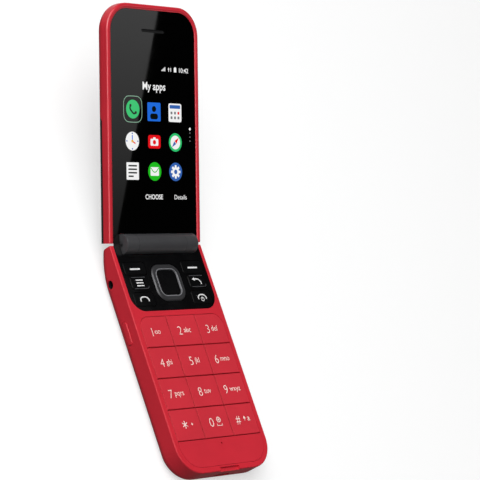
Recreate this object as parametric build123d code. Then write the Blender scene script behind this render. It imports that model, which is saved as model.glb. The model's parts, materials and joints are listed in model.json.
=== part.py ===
"""Clamshell mobile phone, lying open on its back. Sizes in millimetres.

Every piece is first built in hinge coordinates: X along the hinge axis, the base towards -Y and the
flip towards +Y as if opened flat, with both inner faces just under the axis. The flip is then tilted
up to its open stop, and the whole phone is moved so that the middle of the base's back is the origin.
"""
from math import radians, sin
import os

from build123d import *

# ---- driving dimensions -------------------------------------------------------------------------
BODY_WIDTH = 54.4
BASE_LENGTH = 100.5          # hinge axis to the chin end
FLIP_LENGTH = 99.8           # hinge axis to the flip's far end
BASE_THICKNESS = 10.9
FLIP_THICKNESS = 7.0
CLOSED_GAP = 0.8             # air between the two inner faces when shut
OPEN_TILT = 24.0             # how far the open flip stands above the base's plane, degrees
CORNER_RADIUS = 12.0
BACK_EDGE_RADIUS = 4.2
FRONT_EDGE_RADIUS = 0.5
END_GAP = 0.4                # hinge axis to each half's end face
HEEL_LENGTH = 17.0           # stretch of the base's back that rises towards the hinge
HEEL_RISE = 4.2

BARREL_RADIUS = 4.3
BARREL_INSET = 6.2           # side of the phone to the barrel's end
BARREL_END_ROUND = 3.0
CENTRE_KNUCKLE_HALF = 14.05
KNUCKLE_GAP = 0.15
BARREL_CLEARANCE = 0.3
CARTRIDGE_RADIUS = 2.5       # sprung hinge cartridge in the middle knuckle
CARTRIDGE_WALL = 0.4
CARTRIDGE_LENGTH = 11.0
CARTRIDGE_CLEARANCE = 0.1
CAM_THICKNESS = 1.6
CAM_SHAFT_RADIUS = 1.6
CAM_SHAFT_FLATS = 2.5        # across the two flats that key the shaft to the base
CAM_SHAFT_REACH = 5.6        # how far the shaft goes into the base's left knuckle
SPRING_WIRE = 0.5
SPRING_TURNS = 4
PIVOT_RADIUS = 1.9
PIVOT_BORE_RADIUS = 1.1
PIVOT_LENGTH = 9.0
RUNNING_CLEARANCE = 0.05

BASE_WALL = 1.5
FRONT_FRAME_DEPTH = 2.4
RIM_WIDTH = 2.4
FIT_GAP = 0.12               # between a plate or key and the frame around it
FACE_PLATE = 1.25            # thickness of the nav fascia and the chin plate
NAV_LENGTH = 29.8            # hinge axis to the lower edge of the black fascia
NAV_SIDE_RIM = 2.0
NAV_CORNER = 7.0

KEYPAD_START = 32.1
CHIN_LENGTH = 11.8           # last row of keys to the keypad opening's lower edge
KEY_ROWS = 4
COLUMN_LINE = 8.52           # centre line of the phone to the groove between two columns
KEY_GROOVE = 0.28
KEYPAD_CORNER = 5.5
KEY_PROUD = 0.1
KEY_CAP = 1.5
KEY_BEVEL = 0.18
KEY_TRAVEL = 0.3
PLUNGER_RADIUS = 1.2
DOME_RADIUS = 2.0
RING_DOME_RADIUS = 1.2
DOME_TAPER = 50.0            # how far a dome's sides lean in, degrees
DOME_HEIGHT = 0.35
DOME_SLACK = 0.05            # air left over the dome when a key is fully down
BOARD_DEPTH = 3.5            # front face to the circuit board's top
BOARD_THICKNESS = 0.8
BOARD_MARGIN = 2.7           # outer wall to the board's edge
PLATE_MARGIN = 2.5
MAT_THICKNESS = 0.6
MAT_ABOVE_BOARD = 0.45
MAT_MARGIN = 1.0
MAT_HOLE_CLEARANCE = 0.6
MID_PLATE = 0.7
STACK_GAP = 0.1
SEAT_GAP = 0.02

NAV_RING_WIDTH = 16.8
NAV_RING_HEIGHT = 16.4
NAV_RING_BAND = 2.55
NAV_RING_CORNER = 5.2
NAV_CENTRE = 17.4            # hinge axis to the middle of the ring
NAV_KEY_GAP = 0.22
NAV_PROUD = 0.4
NAV_CAP = 1.6
SELECT_SUNK = 0.2            # select key's top below the ring's top
SELECT_CAP = 1.0             # thin enough to clear the rocking plate when it is pressed
RING_POST_RADIUS = 0.6
PIVOT_PLATE = 0.4
PIVOT_PLATE_GAP = 0.3
PIVOT_RIB_RADIUS = 0.25      # half-round ribs that the ring and its plate rock on
NAV_KEY_INSET = 8.1          # fascia's side to the middle of a side column of nav keys
SOFT_KEY_SIZE = (12.4, 5.6)
MENU_KEY_SIZE = (10.0, 5.6)
CALL_KEY_SIZE = (11.6, 6.0)
SOFT_KEY_AT = 10.7
MENU_KEY_AT = 17.3
CALL_KEY_AT = 24.5
SOFT_KEY_PROUD = 0.08
MENU_KEY_PROUD = 0.35
NAV_KEY_CORNER = 1.3

NOTCH_WIDTH = 11.4
NOTCH_DEPTH = 0.9
NOTCH_REACH = 1.7
MIC_RADIUS = 0.45
MIC_FROM_CHIN = 11.8

COVER_START = 29.0
COVER_END_MARGIN = 4.8
COVER_SIDE_MARGIN = 4.8
COVER_UPPER_CORNER = 3.0
COVER_THICKNESS = 1.0
COVER_GAP = 0.12
COVER_LEDGE = 1.2
COVER_CLIP = (0.8, 6.0, 2.0)
COVER_CLIP_INSETS = (12.0, 19.7)             # from the cover's upper and its lower end
BATTERY_THICKNESS = 3.7
BATTERY_MARGINS = (2.7, 4.0, 6.7)            # inside the cover's sides, upper end and lower end
BATTERY_EDGE_RADIUS = 1.0
SIM_SIZE = (16.0, 14.0, 0.9)
SIM_CARD = (12.0, 0.5)                       # the card's width and the slot's height
SIM_AT = (-11.0, 46.0)
CONTACTS_SIZE = (10.0, 2.4, 3.2)

JACK_AT = 15.0
JACK_DEPTH = 6.6             # front face to the socket's axis
JACK_BORE_RADIUS = 1.8
JACK_MOUTH_CLEARANCE = 0.1
JACK_NOSE_RADIUS = 2.25
JACK_BLOCK = (11.5, 6.4, 4.4)
JACK_BORE_LENGTH = 13.0
JACK_SKIN = 1.0              # housing wall left in front of the socket's nose
JACK_NOSE_LENGTH = 2.4
JACK_ROOM = 0.5
USB_OUTER = (7.6, 2.8)
USB_WALL = 0.4
USB_LENGTH = 5.2
USB_BACK_WALL = 0.6
USB_TONGUE = (4.6, 0.6)
USB_SKIN = 0.5
USB_MOUTH_GAP = 0.15

EMERGENCY_KEY = (10.0, 2.6)
EMERGENCY_AT = 37.0
VOLUME_KEY = (19.0, 2.6)
VOLUME_AT = 32.0
SIDE_KEY_DEPTH = 5.6
SIDE_KEY_PROUD = 0.35
SIDE_KEY_BEVEL = 0.25
SIDE_KEY_GAP = 0.15
SIDE_KEY_TRAVEL = 0.4
SIDE_FLANGE = 0.6
SIDE_FLANGE_RIM = 0.6
SIDE_FLANGE_GAP = 0.45       # housing's inner wall to the flange
ROCKER_RIB_HEIGHT = 3.0      # half-round rib that the volume key rocks on, against the mid plate
ROCKER_RIB_GAP = 0.07

CAMERA_AT = (0.0, 21.0)
CAMERA_MODULE = (8.4, 8.4, 4.2)
CAMERA_WINDOW_RADIUS = 3.6
CAMERA_WINDOW_THICKNESS = 0.7
CAMERA_EYE_RADIUS = 1.6
FLASH_AT = (-8.0, 21.0)
FLASH_RADIUS = 1.5
SPEAKER_AT = (15.2, 20.0)
SPEAKER_SIZE = (13.0, 11.0, 3.0)
SPEAKER_SLOTS = 5
SPEAKER_SLOT = (6.0, 0.7)
SPEAKER_SLOT_PITCH = 1.4
MOTOR_RADIUS = 4.0
MOTOR_THICKNESS = 2.6
MOTOR_AT = (0.0, 12.4)
SCREW_INSET = 7.6            # side of the phone to a screw
SCREW_FROM_HINGE = 31.6
SCREW_FROM_CHIN = 8.9
SCREW_RADIUS = 0.7
SCREW_CLEARANCE = 0.15
SCREW_HEAD_RADIUS = 1.25
SCREW_HEAD = 0.7
SCREW_CROSS = (1.6, 0.35, 0.5)
SCREW_TIP_DEPTH = 1.6        # inner face to the screw's tip
BOSS_RADIUS = 1.4

BEZEL_RIM = 2.2
BEZEL_DEPTH = 3.2
LENS_THICKNESS = 1.1
LENS_LEDGE = 1.0
EARPIECE_FROM_END = 10.9
EARPIECE_SLOT = (13.8, 1.3)
EARPIECE_BODY = (15.0, 6.0, 2.6)
COVER_SHELL = 2.0
OUTER_LENS_LAYER = 1.1
OUTER_LENS_LENGTH = 56.0
OUTER_LENS_WRAP = 3.4        # inner face of the flip to the edge of the wrapped outer lens
OUTER_LENS_CORNER = 6.0
DISPLAY_SIDE_MARGIN = 4.0
DISPLAY_START = 14.5
DISPLAY_TO_EARPIECE = 10.4   # display's far end to the middle of the earpiece
DISPLAY_THICKNESS = 1.8
OUTER_DISPLAY = (28.0, 30.0, 1.2)
OUTER_DISPLAY_AT = 30.0
FLIP_PLATE = 0.6
FLIP_PLATE_TO_EARPIECE = 4.5
FLIP_BOARD_MARGIN = 8.2
FLIP_BOARD_SIZE = (18.0, 0.6)                # along the flip, and thickness
FLIP_BOARD_TO_EARPIECE = 18.9
MAGNET = (6.0, 3.0, 1.2)
MAGNET_INSETS = (11.2, 11.3)                 # from the flip's side and its far end
FLEX_RADIUS = 2.25
FLEX_THICKNESS = 0.3
FLEX_LENGTH = 10.0
FLEX_SLIT = 60.0             # degrees left open in the rolled flex

# ---- levels that follow from them ---------------------------------------------------------------
FACE = -CLOSED_GAP / 2                       # both inner faces, below the hinge axis
BASE_BACK = FACE - BASE_THICKNESS
FLIP_BACK = FACE - FLIP_THICKNESS
FRAME_SPLIT = FACE - FRONT_FRAME_DEPTH
BEZEL_SPLIT = FACE - BEZEL_DEPTH
HALF_WIDTH = BODY_WIDTH / 2
BARREL_HALF_LENGTH = HALF_WIDTH - BARREL_INSET
NAV_HALF_WIDTH = HALF_WIDTH - NAV_SIDE_RIM
NAV_KEY_X = NAV_HALF_WIDTH - NAV_KEY_INSET
KEYPAD_HALF_WIDTH = HALF_WIDTH - RIM_WIDTH
KEYPAD_END = BASE_LENGTH - RIM_WIDTH
CHIN_START = KEYPAD_END - CHIN_LENGTH
KEY_PITCH = (CHIN_START - KEYPAD_START) / KEY_ROWS
MIC_AT = BASE_LENGTH - MIC_FROM_CHIN
SCREW_X = HALF_WIDTH - SCREW_INSET
SCREW_AT = (SCREW_FROM_HINGE, BASE_LENGTH - SCREW_FROM_CHIN)
COVER_HALF_WIDTH = HALF_WIDTH - COVER_SIDE_MARGIN
COVER_END = BASE_LENGTH - COVER_END_MARGIN
COVER_CLIPS_AT = (COVER_START + COVER_CLIP_INSETS[0], COVER_END - COVER_CLIP_INSETS[1])
BATTERY_WIDTH = 2 * (COVER_HALF_WIDTH - BATTERY_MARGINS[0])
BATTERY_START = COVER_START + BATTERY_MARGINS[1]
BATTERY_LENGTH = COVER_END - BATTERY_MARGINS[2] - BATTERY_START
EARPIECE_AT = FLIP_LENGTH - EARPIECE_FROM_END
DISPLAY_LENGTH = EARPIECE_AT - DISPLAY_TO_EARPIECE - DISPLAY_START
MAIN_DISPLAY = (2 * (HALF_WIDTH - DISPLAY_SIDE_MARGIN), DISPLAY_LENGTH, DISPLAY_THICKNESS)
MAIN_DISPLAY_AT = DISPLAY_START + DISPLAY_LENGTH / 2
FLIP_BOARD = (2 * (HALF_WIDTH - FLIP_BOARD_MARGIN), *FLIP_BOARD_SIZE)
FLIP_BOARD_AT = EARPIECE_AT - FLIP_BOARD_TO_EARPIECE
BOARD_TOP = FACE - BOARD_DEPTH
BOARD_UNDER = BOARD_TOP - BOARD_THICKNESS
DOME_TOP = BOARD_TOP + DOME_HEIGHT
PLUNGER_TIP = DOME_TOP + KEY_TRAVEL + DOME_SLACK
PLATE_TOP = BOARD_UNDER - STACK_GAP
PLATE_UNDER = PLATE_TOP - MID_PLATE
BOARD_START = SOFT_KEY_AT - DOME_RADIUS - 0.5
SCREW_TIP = FACE - SCREW_TIP_DEPTH
FLANGE_OUTER = HALF_WIDTH - BASE_WALL - SIDE_FLANGE_GAP
NOTCH_INNER = FLANGE_OUTER - SIDE_FLANGE - SIDE_KEY_TRAVEL - FIT_GAP
USB_LEVEL = BOARD_UNDER - SEAT_GAP - USB_OUTER[1] / 2
POCKET_RADIUS = BARREL_RADIUS + BARREL_CLEARANCE
POCKET_HALF_LENGTH = BARREL_HALF_LENGTH + BARREL_CLEARANCE
SIDE_KEY_LEVEL = FACE - SIDE_KEY_DEPTH
JACK_LEVEL = FACE - JACK_DEPTH
NAV_Y = -NAV_CENTRE
FAR = 200.0                                  # longer than the phone, for cutting tools
PEG_SIDES = 10                               # hidden pins and holes are plain prisms
DOME_SIDES = 8
TANGENT_BEVEL = 2 - 2 ** 0.5                 # a bevel that touches a round of radius 1 at its middle


# ---- small helpers ------------------------------------------------------------------------------
def panel(width, y_low, y_high, r_low=0.0, r_high=0.0, x=0.0):
    """A face centred on x, its two lower and two upper corners rounded by their own radii."""
    face = Pos(x, (y_low + y_high) / 2) * Rectangle(width, y_high - y_low)
    if r_low:
        face = fillet(face.vertices().group_by(Axis.Y)[0], r_low)
    if r_high:
        face = fillet(face.vertices().group_by(Axis.Y)[-1], r_high)
    return face


def slab(face, z_low, z_high):
    return Pos(0, 0, z_low) * extrude(face, z_high - z_low)


def block(size, x, y, z_top):
    """A box centred on (x, y) that hangs down from z_top."""
    return Pos(x, y, z_top - size[2] / 2) * Box(*size)


def disc(radius, x, y, z_low, z_high):
    return Pos(x, y, (z_low + z_high) / 2) * Cylinder(radius, z_high - z_low)


def peg(radius, x, y, z_low, z_high):
    """A hidden upright pin or hole, many-sided instead of round."""
    return slab(Pos(x, y) * RegularPolygon(radius, PEG_SIDES), z_low, z_high)


def rod(radius, x_low, x_high, y=0.0, z=0.0):
    """A round bar along X."""
    return Pos((x_low + x_high) / 2, y, z) * Rot(0, 90, 0) * Cylinder(radius, x_high - x_low)


def pill(length, width, thickness):
    """A stadium-shaped bar: length along Y, width along Z, thickness along X, centred."""
    return Rot(0, 90, 0) * Rot(0, 0, 90) * extrude(SlotOverall(length, width), thickness / 2, both=True)


def barrel_pocket():
    return rod(POCKET_RADIUS, -POCKET_HALF_LENGTH, POCKET_HALF_LENGTH)


def back_edges(form, level):
    """The edges round a half's back, without those across the hinge end."""
    wanted = []
    for edge in form.edges():
        middle = edge.position_at(0.5)
        along_z = abs(edge.tangent_at(0.5).Z) > 0.9
        beside = abs(middle.X) > BODY_WIDTH / 4 or abs(middle.Y) > BASE_LENGTH / 2
        if middle.Z < level and beside and not along_z:
            wanted.append(edge)
    return wanted


def soften_back(form, inset, bevelled):
    """Rounds the back edges of a form pulled in by inset, or bevels them where nobody sees them."""
    edges, radius = back_edges(form, FACE - 3), BACK_EDGE_RADIUS - inset
    return chamfer(edges, radius * TANGENT_BEVEL) if bevelled else fillet(edges, radius)


# ---- outer forms of the two halves --------------------------------------------------------------
def base_form(inset=0.0, open_top=0.0, bevelled=False):
    """The base's outer form, or that form pulled in by inset, with its back rising to the hinge."""
    back = BASE_BACK + inset
    end = -END_GAP - inset
    outline = panel(BODY_WIDTH - 2 * inset, -BASE_LENGTH + inset, end, CORNER_RADIUS - inset)
    heel = TangentArc((-HEEL_LENGTH, back), (end, back + HEEL_RISE), tangent=(1, 0))
    top = FACE + open_top
    chin = -BASE_LENGTH - 1
    rest = Polyline((end, back + HEEL_RISE), (end, top), (chin, top), (chin, back), (-HEEL_LENGTH, back))
    side = Plane.YZ * make_face(heel + rest)
    form = slab(outline, back - 1, top) & extrude(side, BODY_WIDTH, both=True)
    return soften_back(form, inset, bevelled)


def flip_form(inset=0.0, open_end=0.0, open_top=0.0, bevelled=False):
    """The flip's outer form, or that form pulled in by inset; open_end runs it past the hinge end."""
    start = END_GAP - open_end
    outline = panel(BODY_WIDTH - 2 * inset, start, FLIP_LENGTH - inset, 0, CORNER_RADIUS - inset)
    form = slab(outline, FLIP_BACK + inset, FACE + open_top)
    return soften_back(form, inset, bevelled)


# ---- key layout ---------------------------------------------------------------------------------
def number_key_cells():
    """Name, low x, high x, low y and high y of each number key's cell."""
    edges = [-KEYPAD_HALF_WIDTH, -COLUMN_LINE, COLUMN_LINE, KEYPAD_HALF_WIDTH]
    names = ["key_1", "key_2", "key_3", "key_4", "key_5", "key_6",
             "key_7", "key_8", "key_9", "key_star", "key_0", "key_hash"]
    cells = []
    for index, name in enumerate(names):
        row, column = divmod(index, 3)
        high = -KEYPAD_START - row * KEY_PITCH
        cells.append((name, edges[column], edges[column + 1], high - KEY_PITCH, high))
    return cells


NAV_KEYS = {
    "soft_key_left": (-NAV_KEY_X, -SOFT_KEY_AT, SOFT_KEY_SIZE, SOFT_KEY_PROUD),
    "soft_key_right": (NAV_KEY_X, -SOFT_KEY_AT, SOFT_KEY_SIZE, SOFT_KEY_PROUD),
    "menu_key": (-NAV_KEY_X, -MENU_KEY_AT, MENU_KEY_SIZE, MENU_KEY_PROUD),
    "back_key": (NAV_KEY_X, -MENU_KEY_AT, MENU_KEY_SIZE, MENU_KEY_PROUD),
    "call_key": (-NAV_KEY_X, -CALL_KEY_AT, CALL_KEY_SIZE, SOFT_KEY_PROUD),
    "end_key": (NAV_KEY_X, -CALL_KEY_AT, CALL_KEY_SIZE, SOFT_KEY_PROUD),
}
RING_ARM_X = NAV_RING_WIDTH / 2 - NAV_RING_BAND / 2
RING_ARM_Y = NAV_RING_HEIGHT / 2 - NAV_RING_BAND / 2


def plunger_places():
    """Where a key's plunger meets a dome, apart from the ring's own four."""
    places = [((x0 + x1) / 2, (y0 + y1) / 2) for _, x0, x1, y0, y1 in number_key_cells()]
    places += [(x, y) for x, y, _, _ in NAV_KEYS.values()]
    places.append((0, NAV_Y))
    return places


def ring_places():
    return [(RING_ARM_X, NAV_Y), (-RING_ARM_X, NAV_Y), (0, NAV_Y + RING_ARM_Y), (0, NAV_Y - RING_ARM_Y)]


def screw_places():
    return [(side * SCREW_X, -at) for at in SCREW_AT for side in (-1, 1)]


def screw_bosses(z_high, at):
    """Bosses for the two screws at one end, as bosses and the holes in them."""
    places = [(x, y) for x, y in screw_places() if y == -at]
    bosses = [peg(BOSS_RADIUS, x, y, BOARD_TOP + SEAT_GAP, z_high) for x, y in places]
    holes = [peg(SCREW_RADIUS, x, y, BOARD_TOP, SCREW_TIP + STACK_GAP) for x, y in places]
    return bosses, holes


def screw_clearances(z_low, z_high):
    return [peg(SCREW_RADIUS + SCREW_CLEARANCE, x, y, z_low - 1, z_high + 1) for x, y in screw_places()]


def side_key_notches(z_low, z_high):
    """Room for the side keys' flanges at the edges of the board and the mid plate."""
    inner = NOTCH_INNER
    notches = []
    for side, at, size in ((-1, EMERGENCY_AT, EMERGENCY_KEY), (1, VOLUME_AT, VOLUME_KEY)):
        length = size[0] + 2 * SIDE_FLANGE_RIM + 1
        x = side * (inner + HALF_WIDTH) / 2
        notches.append(Pos(x, -at, (z_low + z_high) / 2) * Box(HALF_WIDTH - inner, length, z_high - z_low + 1))
    return notches


# ---- base: housings -----------------------------------------------------------------------------
def nav_opening(grow=0.0):
    half = NAV_HALF_WIDTH + grow
    return panel(2 * half, -NAV_LENGTH - grow, 1.0, NAV_CORNER + grow)


def keypad_opening(shrink=0.0):
    half = KEYPAD_HALF_WIDTH - shrink
    inner = CORNER_RADIUS - RIM_WIDTH - shrink
    return panel(2 * half, -KEYPAD_END + shrink, -KEYPAD_START - shrink, inner, KEYPAD_CORNER - shrink)


def front_housing():
    """The red frame round the keys, with the bar between the fascia and the keypad."""
    frame = base_form() & slab(Rectangle(FAR, 2 * FAR), FRAME_SPLIT, FACE)
    rim = [e for e in frame.edges() if e.position_at(0.5).Z > FACE - 0.01
           and (abs(e.position_at(0.5).X) > BODY_WIDTH / 4 or e.position_at(0.5).Y < -BASE_LENGTH / 2)]
    frame = fillet(rim, FRONT_EDGE_RADIUS)
    frame -= slab(nav_opening(), FRAME_SPLIT - 1, FACE + 1)
    frame -= slab(keypad_opening(), FRAME_SPLIT - 1, FACE + 1)
    notch = panel(NOTCH_WIDTH, -BASE_LENGTH - 1, -BASE_LENGTH + NOTCH_REACH, 0, 0.6)
    frame -= slab(notch, FACE - NOTCH_DEPTH, FACE + 1)
    bosses, holes = screw_bosses(FRAME_SPLIT + STACK_GAP, SCREW_AT[0])
    frame = frame + bosses - holes
    return frame - barrel_pocket()


def cover_outline(shrink=0.0):
    return panel(2 * (COVER_HALF_WIDTH - shrink), -COVER_END + shrink, -COVER_START - shrink,
                 CORNER_RADIUS - COVER_END_MARGIN - shrink, COVER_UPPER_CORNER - shrink)


def side_key_opening(x, at, size):
    gap = 2 * SIDE_KEY_GAP
    return Pos(x, -at, SIDE_KEY_LEVEL) * pill(size[0] + gap, size[1] + gap, 6.0)


def speaker_slots():
    slots = []
    for index in range(SPEAKER_SLOTS):
        y = -SPEAKER_AT[1] + (index - (SPEAKER_SLOTS - 1) / 2) * SPEAKER_SLOT_PITCH
        slots.append(Pos(SPEAKER_AT[0], y, BASE_BACK) * extrude(SlotOverall(*SPEAKER_SLOT), 4, both=True))
    return slots


def rear_housing():
    """The red tub: side walls, curved back edges and the frame round the battery cover."""
    tub = base_form() & slab(Rectangle(FAR, 2 * FAR), BASE_BACK - 1, FRAME_SPLIT)
    tub -= base_form(BASE_WALL, 1.0, bevelled=True)
    tub -= slab(cover_outline(-COVER_GAP), BASE_BACK - 1, BASE_BACK + COVER_THICKNESS + COVER_GAP)
    tub -= slab(cover_outline(COVER_LEDGE), BASE_BACK - 1, BASE_BACK + 4)
    tub -= barrel_pocket()
    mouth_radius = JACK_BORE_RADIUS + JACK_MOUTH_CLEARANCE
    tub -= rod(mouth_radius, -HALF_WIDTH - 1, -HALF_WIDTH + 4, -JACK_AT, JACK_LEVEL)
    tub -= rod(JACK_NOSE_RADIUS + FIT_GAP, -HALF_WIDTH + JACK_SKIN, -HALF_WIDTH + 4, -JACK_AT, JACK_LEVEL)
    port = (USB_OUTER[0] + 2 * USB_MOUTH_GAP, USB_OUTER[1] + 2 * USB_MOUTH_GAP)
    mouth = extrude(RectangleRounded(*port, 1.0), 2 * BASE_WALL, both=True)
    tub -= Pos(0, -BASE_LENGTH, USB_LEVEL) * Rot(90, 0, 0) * mouth
    tub -= side_key_opening(-HALF_WIDTH, EMERGENCY_AT, EMERGENCY_KEY)
    tub -= side_key_opening(HALF_WIDTH, VOLUME_AT, VOLUME_KEY)
    tub -= disc(CAMERA_WINDOW_RADIUS + FIT_GAP, CAMERA_AT[0], -CAMERA_AT[1], BASE_BACK - 1, BASE_BACK + 4)
    tub -= disc(FLASH_RADIUS + FIT_GAP, FLASH_AT[0], -FLASH_AT[1], BASE_BACK - 1, BASE_BACK + 4)
    for slot in speaker_slots():
        tub -= slot
    return tub


def battery_cover():
    plate = slab(cover_outline(), BASE_BACK, BASE_BACK + COVER_THICKNESS)
    clip_x = COVER_HALF_WIDTH - COVER_LEDGE - 2 * COVER_GAP - COVER_CLIP[0] / 2
    clip_top = BASE_BACK + COVER_CLIP[2] + COVER_THICKNESS / 2
    for side in (-1, 1):
        for at in COVER_CLIPS_AT:
            plate += block(COVER_CLIP, side * clip_x, -at, clip_top)
    return plate


def chin_plate():
    face = keypad_opening(FIT_GAP) & panel(FAR, -FAR, -CHIN_START - KEY_GROOVE / 2)
    plate = slab(face, FACE - FACE_PLATE, FACE)
    bosses, holes = screw_bosses(FACE - FACE_PLATE + STACK_GAP, SCREW_AT[1])
    plate = plate + bosses - holes
    return plate - disc(MIC_RADIUS, 0, -MIC_AT, FACE - 3, FACE + 1)


def nav_key_outline(size, x, y, grow=0.0):
    return Pos(x, y) * RectangleRounded(size[0] + 2 * grow, size[1] + 2 * grow, NAV_KEY_CORNER + grow)


def ring_outline(shrink=0.0):
    width, height = NAV_RING_WIDTH - 2 * shrink, NAV_RING_HEIGHT - 2 * shrink
    return Pos(0, NAV_Y) * RectangleRounded(width, height, NAV_RING_CORNER - shrink)


def nav_fascia():
    """The black gloss plate with an opening for each navigation key."""
    half = NAV_HALF_WIDTH - FIT_GAP
    plate = slab(panel(2 * half, -NAV_LENGTH + FIT_GAP, -END_GAP, NAV_CORNER - FIT_GAP), FACE - FACE_PLATE, FACE)
    plate -= slab(ring_outline(-NAV_KEY_GAP), FACE - 3, FACE + 1)
    for x, y, size, _ in NAV_KEYS.values():
        plate -= slab(nav_key_outline(size, x, y, NAV_KEY_GAP), FACE - 3, FACE + 1)
    return plate - barrel_pocket()


def inner_outline(margin, start):
    """The outline of a plate inside the base, margin in from its outer wall."""
    return panel(BODY_WIDTH - 2 * margin, -BASE_LENGTH + margin, -start, CORNER_RADIUS - margin)


def knuckle(side):
    """One of the base's two outer knuckles, rounded at its free end."""
    low, high = sorted((side * (CENTRE_KNUCKLE_HALF + KNUCKLE_GAP), side * BARREL_HALF_LENGTH))
    tube = rod(BARREL_RADIUS, low, high)
    tip = tube.edges().filter_by(GeomType.CIRCLE).sort_by(Axis.X)[-1 if side > 0 else 0]
    tube = fillet(tip, BARREL_END_ROUND)
    arm_top = FACE - FACE_PLATE - STACK_GAP
    arm_high = -END_GAP - BASE_WALL - 2 * STACK_GAP
    arm_low = -SOFT_KEY_AT + SOFT_KEY_SIZE[1] / 2 + 2 * STACK_GAP
    arm_size = (high - low, arm_high - arm_low, arm_top - PLATE_UNDER)
    return tube + block(arm_size, (low + high) / 2, (arm_low + arm_high) / 2, arm_top)


def cam_shaft_end():
    """The flatted end of the cam shaft, as it lies in the base's left knuckle."""
    high = -CENTRE_KNUCKLE_HALF - KNUCKLE_GAP
    low = high - CAM_SHAFT_REACH
    return rod(CAM_SHAFT_RADIUS, low, high) & Pos(low, 0, 0) * Box(FAR, CAM_SHAFT_FLATS, FAR)


def base_frame():
    """The dark inner frame: a mid plate, two arms and the two outer hinge knuckles."""
    plate = slab(inner_outline(PLATE_MARGIN, POCKET_RADIUS + BASE_WALL / 2), PLATE_UNDER, PLATE_TOP)
    jack_reach = 2 * (HALF_WIDTH - JACK_SKIN - JACK_NOSE_LENGTH - JACK_BLOCK[0] - JACK_ROOM)
    plate -= Pos(-HALF_WIDTH, -JACK_AT, PLATE_TOP) * Box(BODY_WIDTH - jack_reach, JACK_BLOCK[1] + 1, 3)
    plate -= Pos(0, -BASE_LENGTH, PLATE_TOP) * Box(USB_OUTER[0] + 1, 2 * (USB_SKIN + USB_LENGTH) + 2, 3)
    for notch in side_key_notches(PLATE_UNDER, PLATE_TOP):
        plate -= notch
    plate += knuckle(-1) + knuckle(1)
    plate -= cam_shaft_end()
    inner = CENTRE_KNUCKLE_HALF + KNUCKLE_GAP
    plate -= rod(PIVOT_RADIUS, inner - 1, inner + PIVOT_LENGTH / 2)
    return plate - screw_clearances(PLATE_UNDER, PLATE_TOP)


# ---- base: what it holds ------------------------------------------------------------------------
def main_board():
    board = slab(inner_outline(BOARD_MARGIN, BOARD_START), BOARD_UNDER, BOARD_TOP)
    for notch in side_key_notches(BOARD_UNDER, BOARD_TOP):
        board -= notch
    return board - screw_clearances(BOARD_UNDER, BOARD_TOP)


def key_domes():
    """The snap domes: low, tapered and many-sided, one under each plunger."""
    places = [(x, y, DOME_RADIUS) for x, y in plunger_places()]
    places += [(x, y, RING_DOME_RADIUS) for x, y in ring_places()]
    domes = []
    for x, y, radius in places:
        foot = Pos(x, y, BOARD_TOP) * RegularPolygon(radius, DOME_SIDES)
        domes.append(extrude(foot, DOME_HEIGHT, taper=DOME_TAPER))
    return domes


def keypad_mat():
    """The silicone sheet under the keys, with a hole round each plunger."""
    top = BOARD_TOP + MAT_ABOVE_BOARD + MAT_THICKNESS
    width = 2 * (KEYPAD_HALF_WIDTH - MAT_MARGIN)
    mat = slab(panel(width, -CHIN_START + MAT_MARGIN, -BOARD_START, 1, 1), top - MAT_THICKNESS, top)
    mat -= [peg(PLUNGER_RADIUS + MAT_HOLE_CLEARANCE, x, y, top - 2, top + 1) for x, y in plunger_places()]
    mat -= [peg(BOSS_RADIUS + FIT_GAP, x, y, top - 2, top + 1) for x, y in screw_places()]
    return mat - slab(ring_outline(-MAT_HOLE_CLEARANCE), top - 2, top + 1)


def battery():
    size = (BATTERY_WIDTH, BATTERY_LENGTH, BATTERY_THICKNESS)
    top = BASE_BACK + COVER_THICKNESS + STACK_GAP + BATTERY_THICKNESS
    cell = block(size, 0, -BATTERY_START - BATTERY_LENGTH / 2, top)
    return fillet(cell.edges().filter_by(Axis.Y), BATTERY_EDGE_RADIUS)


def battery_contacts():
    x, y, z = CONTACTS_SIZE
    at = -BATTERY_START + 0.3 + y / 2
    body = block(CONTACTS_SIZE, 0, at, PLATE_UNDER - STACK_GAP)
    for offset in (-3, 0, 3):
        body += Pos(offset, -BATTERY_START + 0.25, PLATE_UNDER - 2.0) * Box(1.2, 0.3, 1.6)
    return body


def sim_reader():
    cage = block(SIM_SIZE, SIM_AT[0], -SIM_AT[1], PLATE_UNDER - SEAT_GAP)
    card = Box(SIM_CARD[0], SIM_SIZE[1], SIM_CARD[1])
    return cage - Pos(SIM_AT[0], -SIM_AT[1] - 2, PLATE_UNDER - SIM_SIZE[2]) * card


def headset_socket():
    """Socket body with its nose in the housing's wall; the bore is blind."""
    nose_tip = -HALF_WIDTH + JACK_SKIN + SEAT_GAP
    shoulder = nose_tip + JACK_NOSE_LENGTH
    body = rod(JACK_NOSE_RADIUS, nose_tip, shoulder + 0.5, -JACK_AT, JACK_LEVEL)
    body += Pos(shoulder + JACK_BLOCK[0] / 2, -JACK_AT, JACK_LEVEL) * Box(*JACK_BLOCK)
    return body - rod(JACK_BORE_RADIUS, nose_tip - 1, nose_tip + JACK_BORE_LENGTH, -JACK_AT, JACK_LEVEL)


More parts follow.
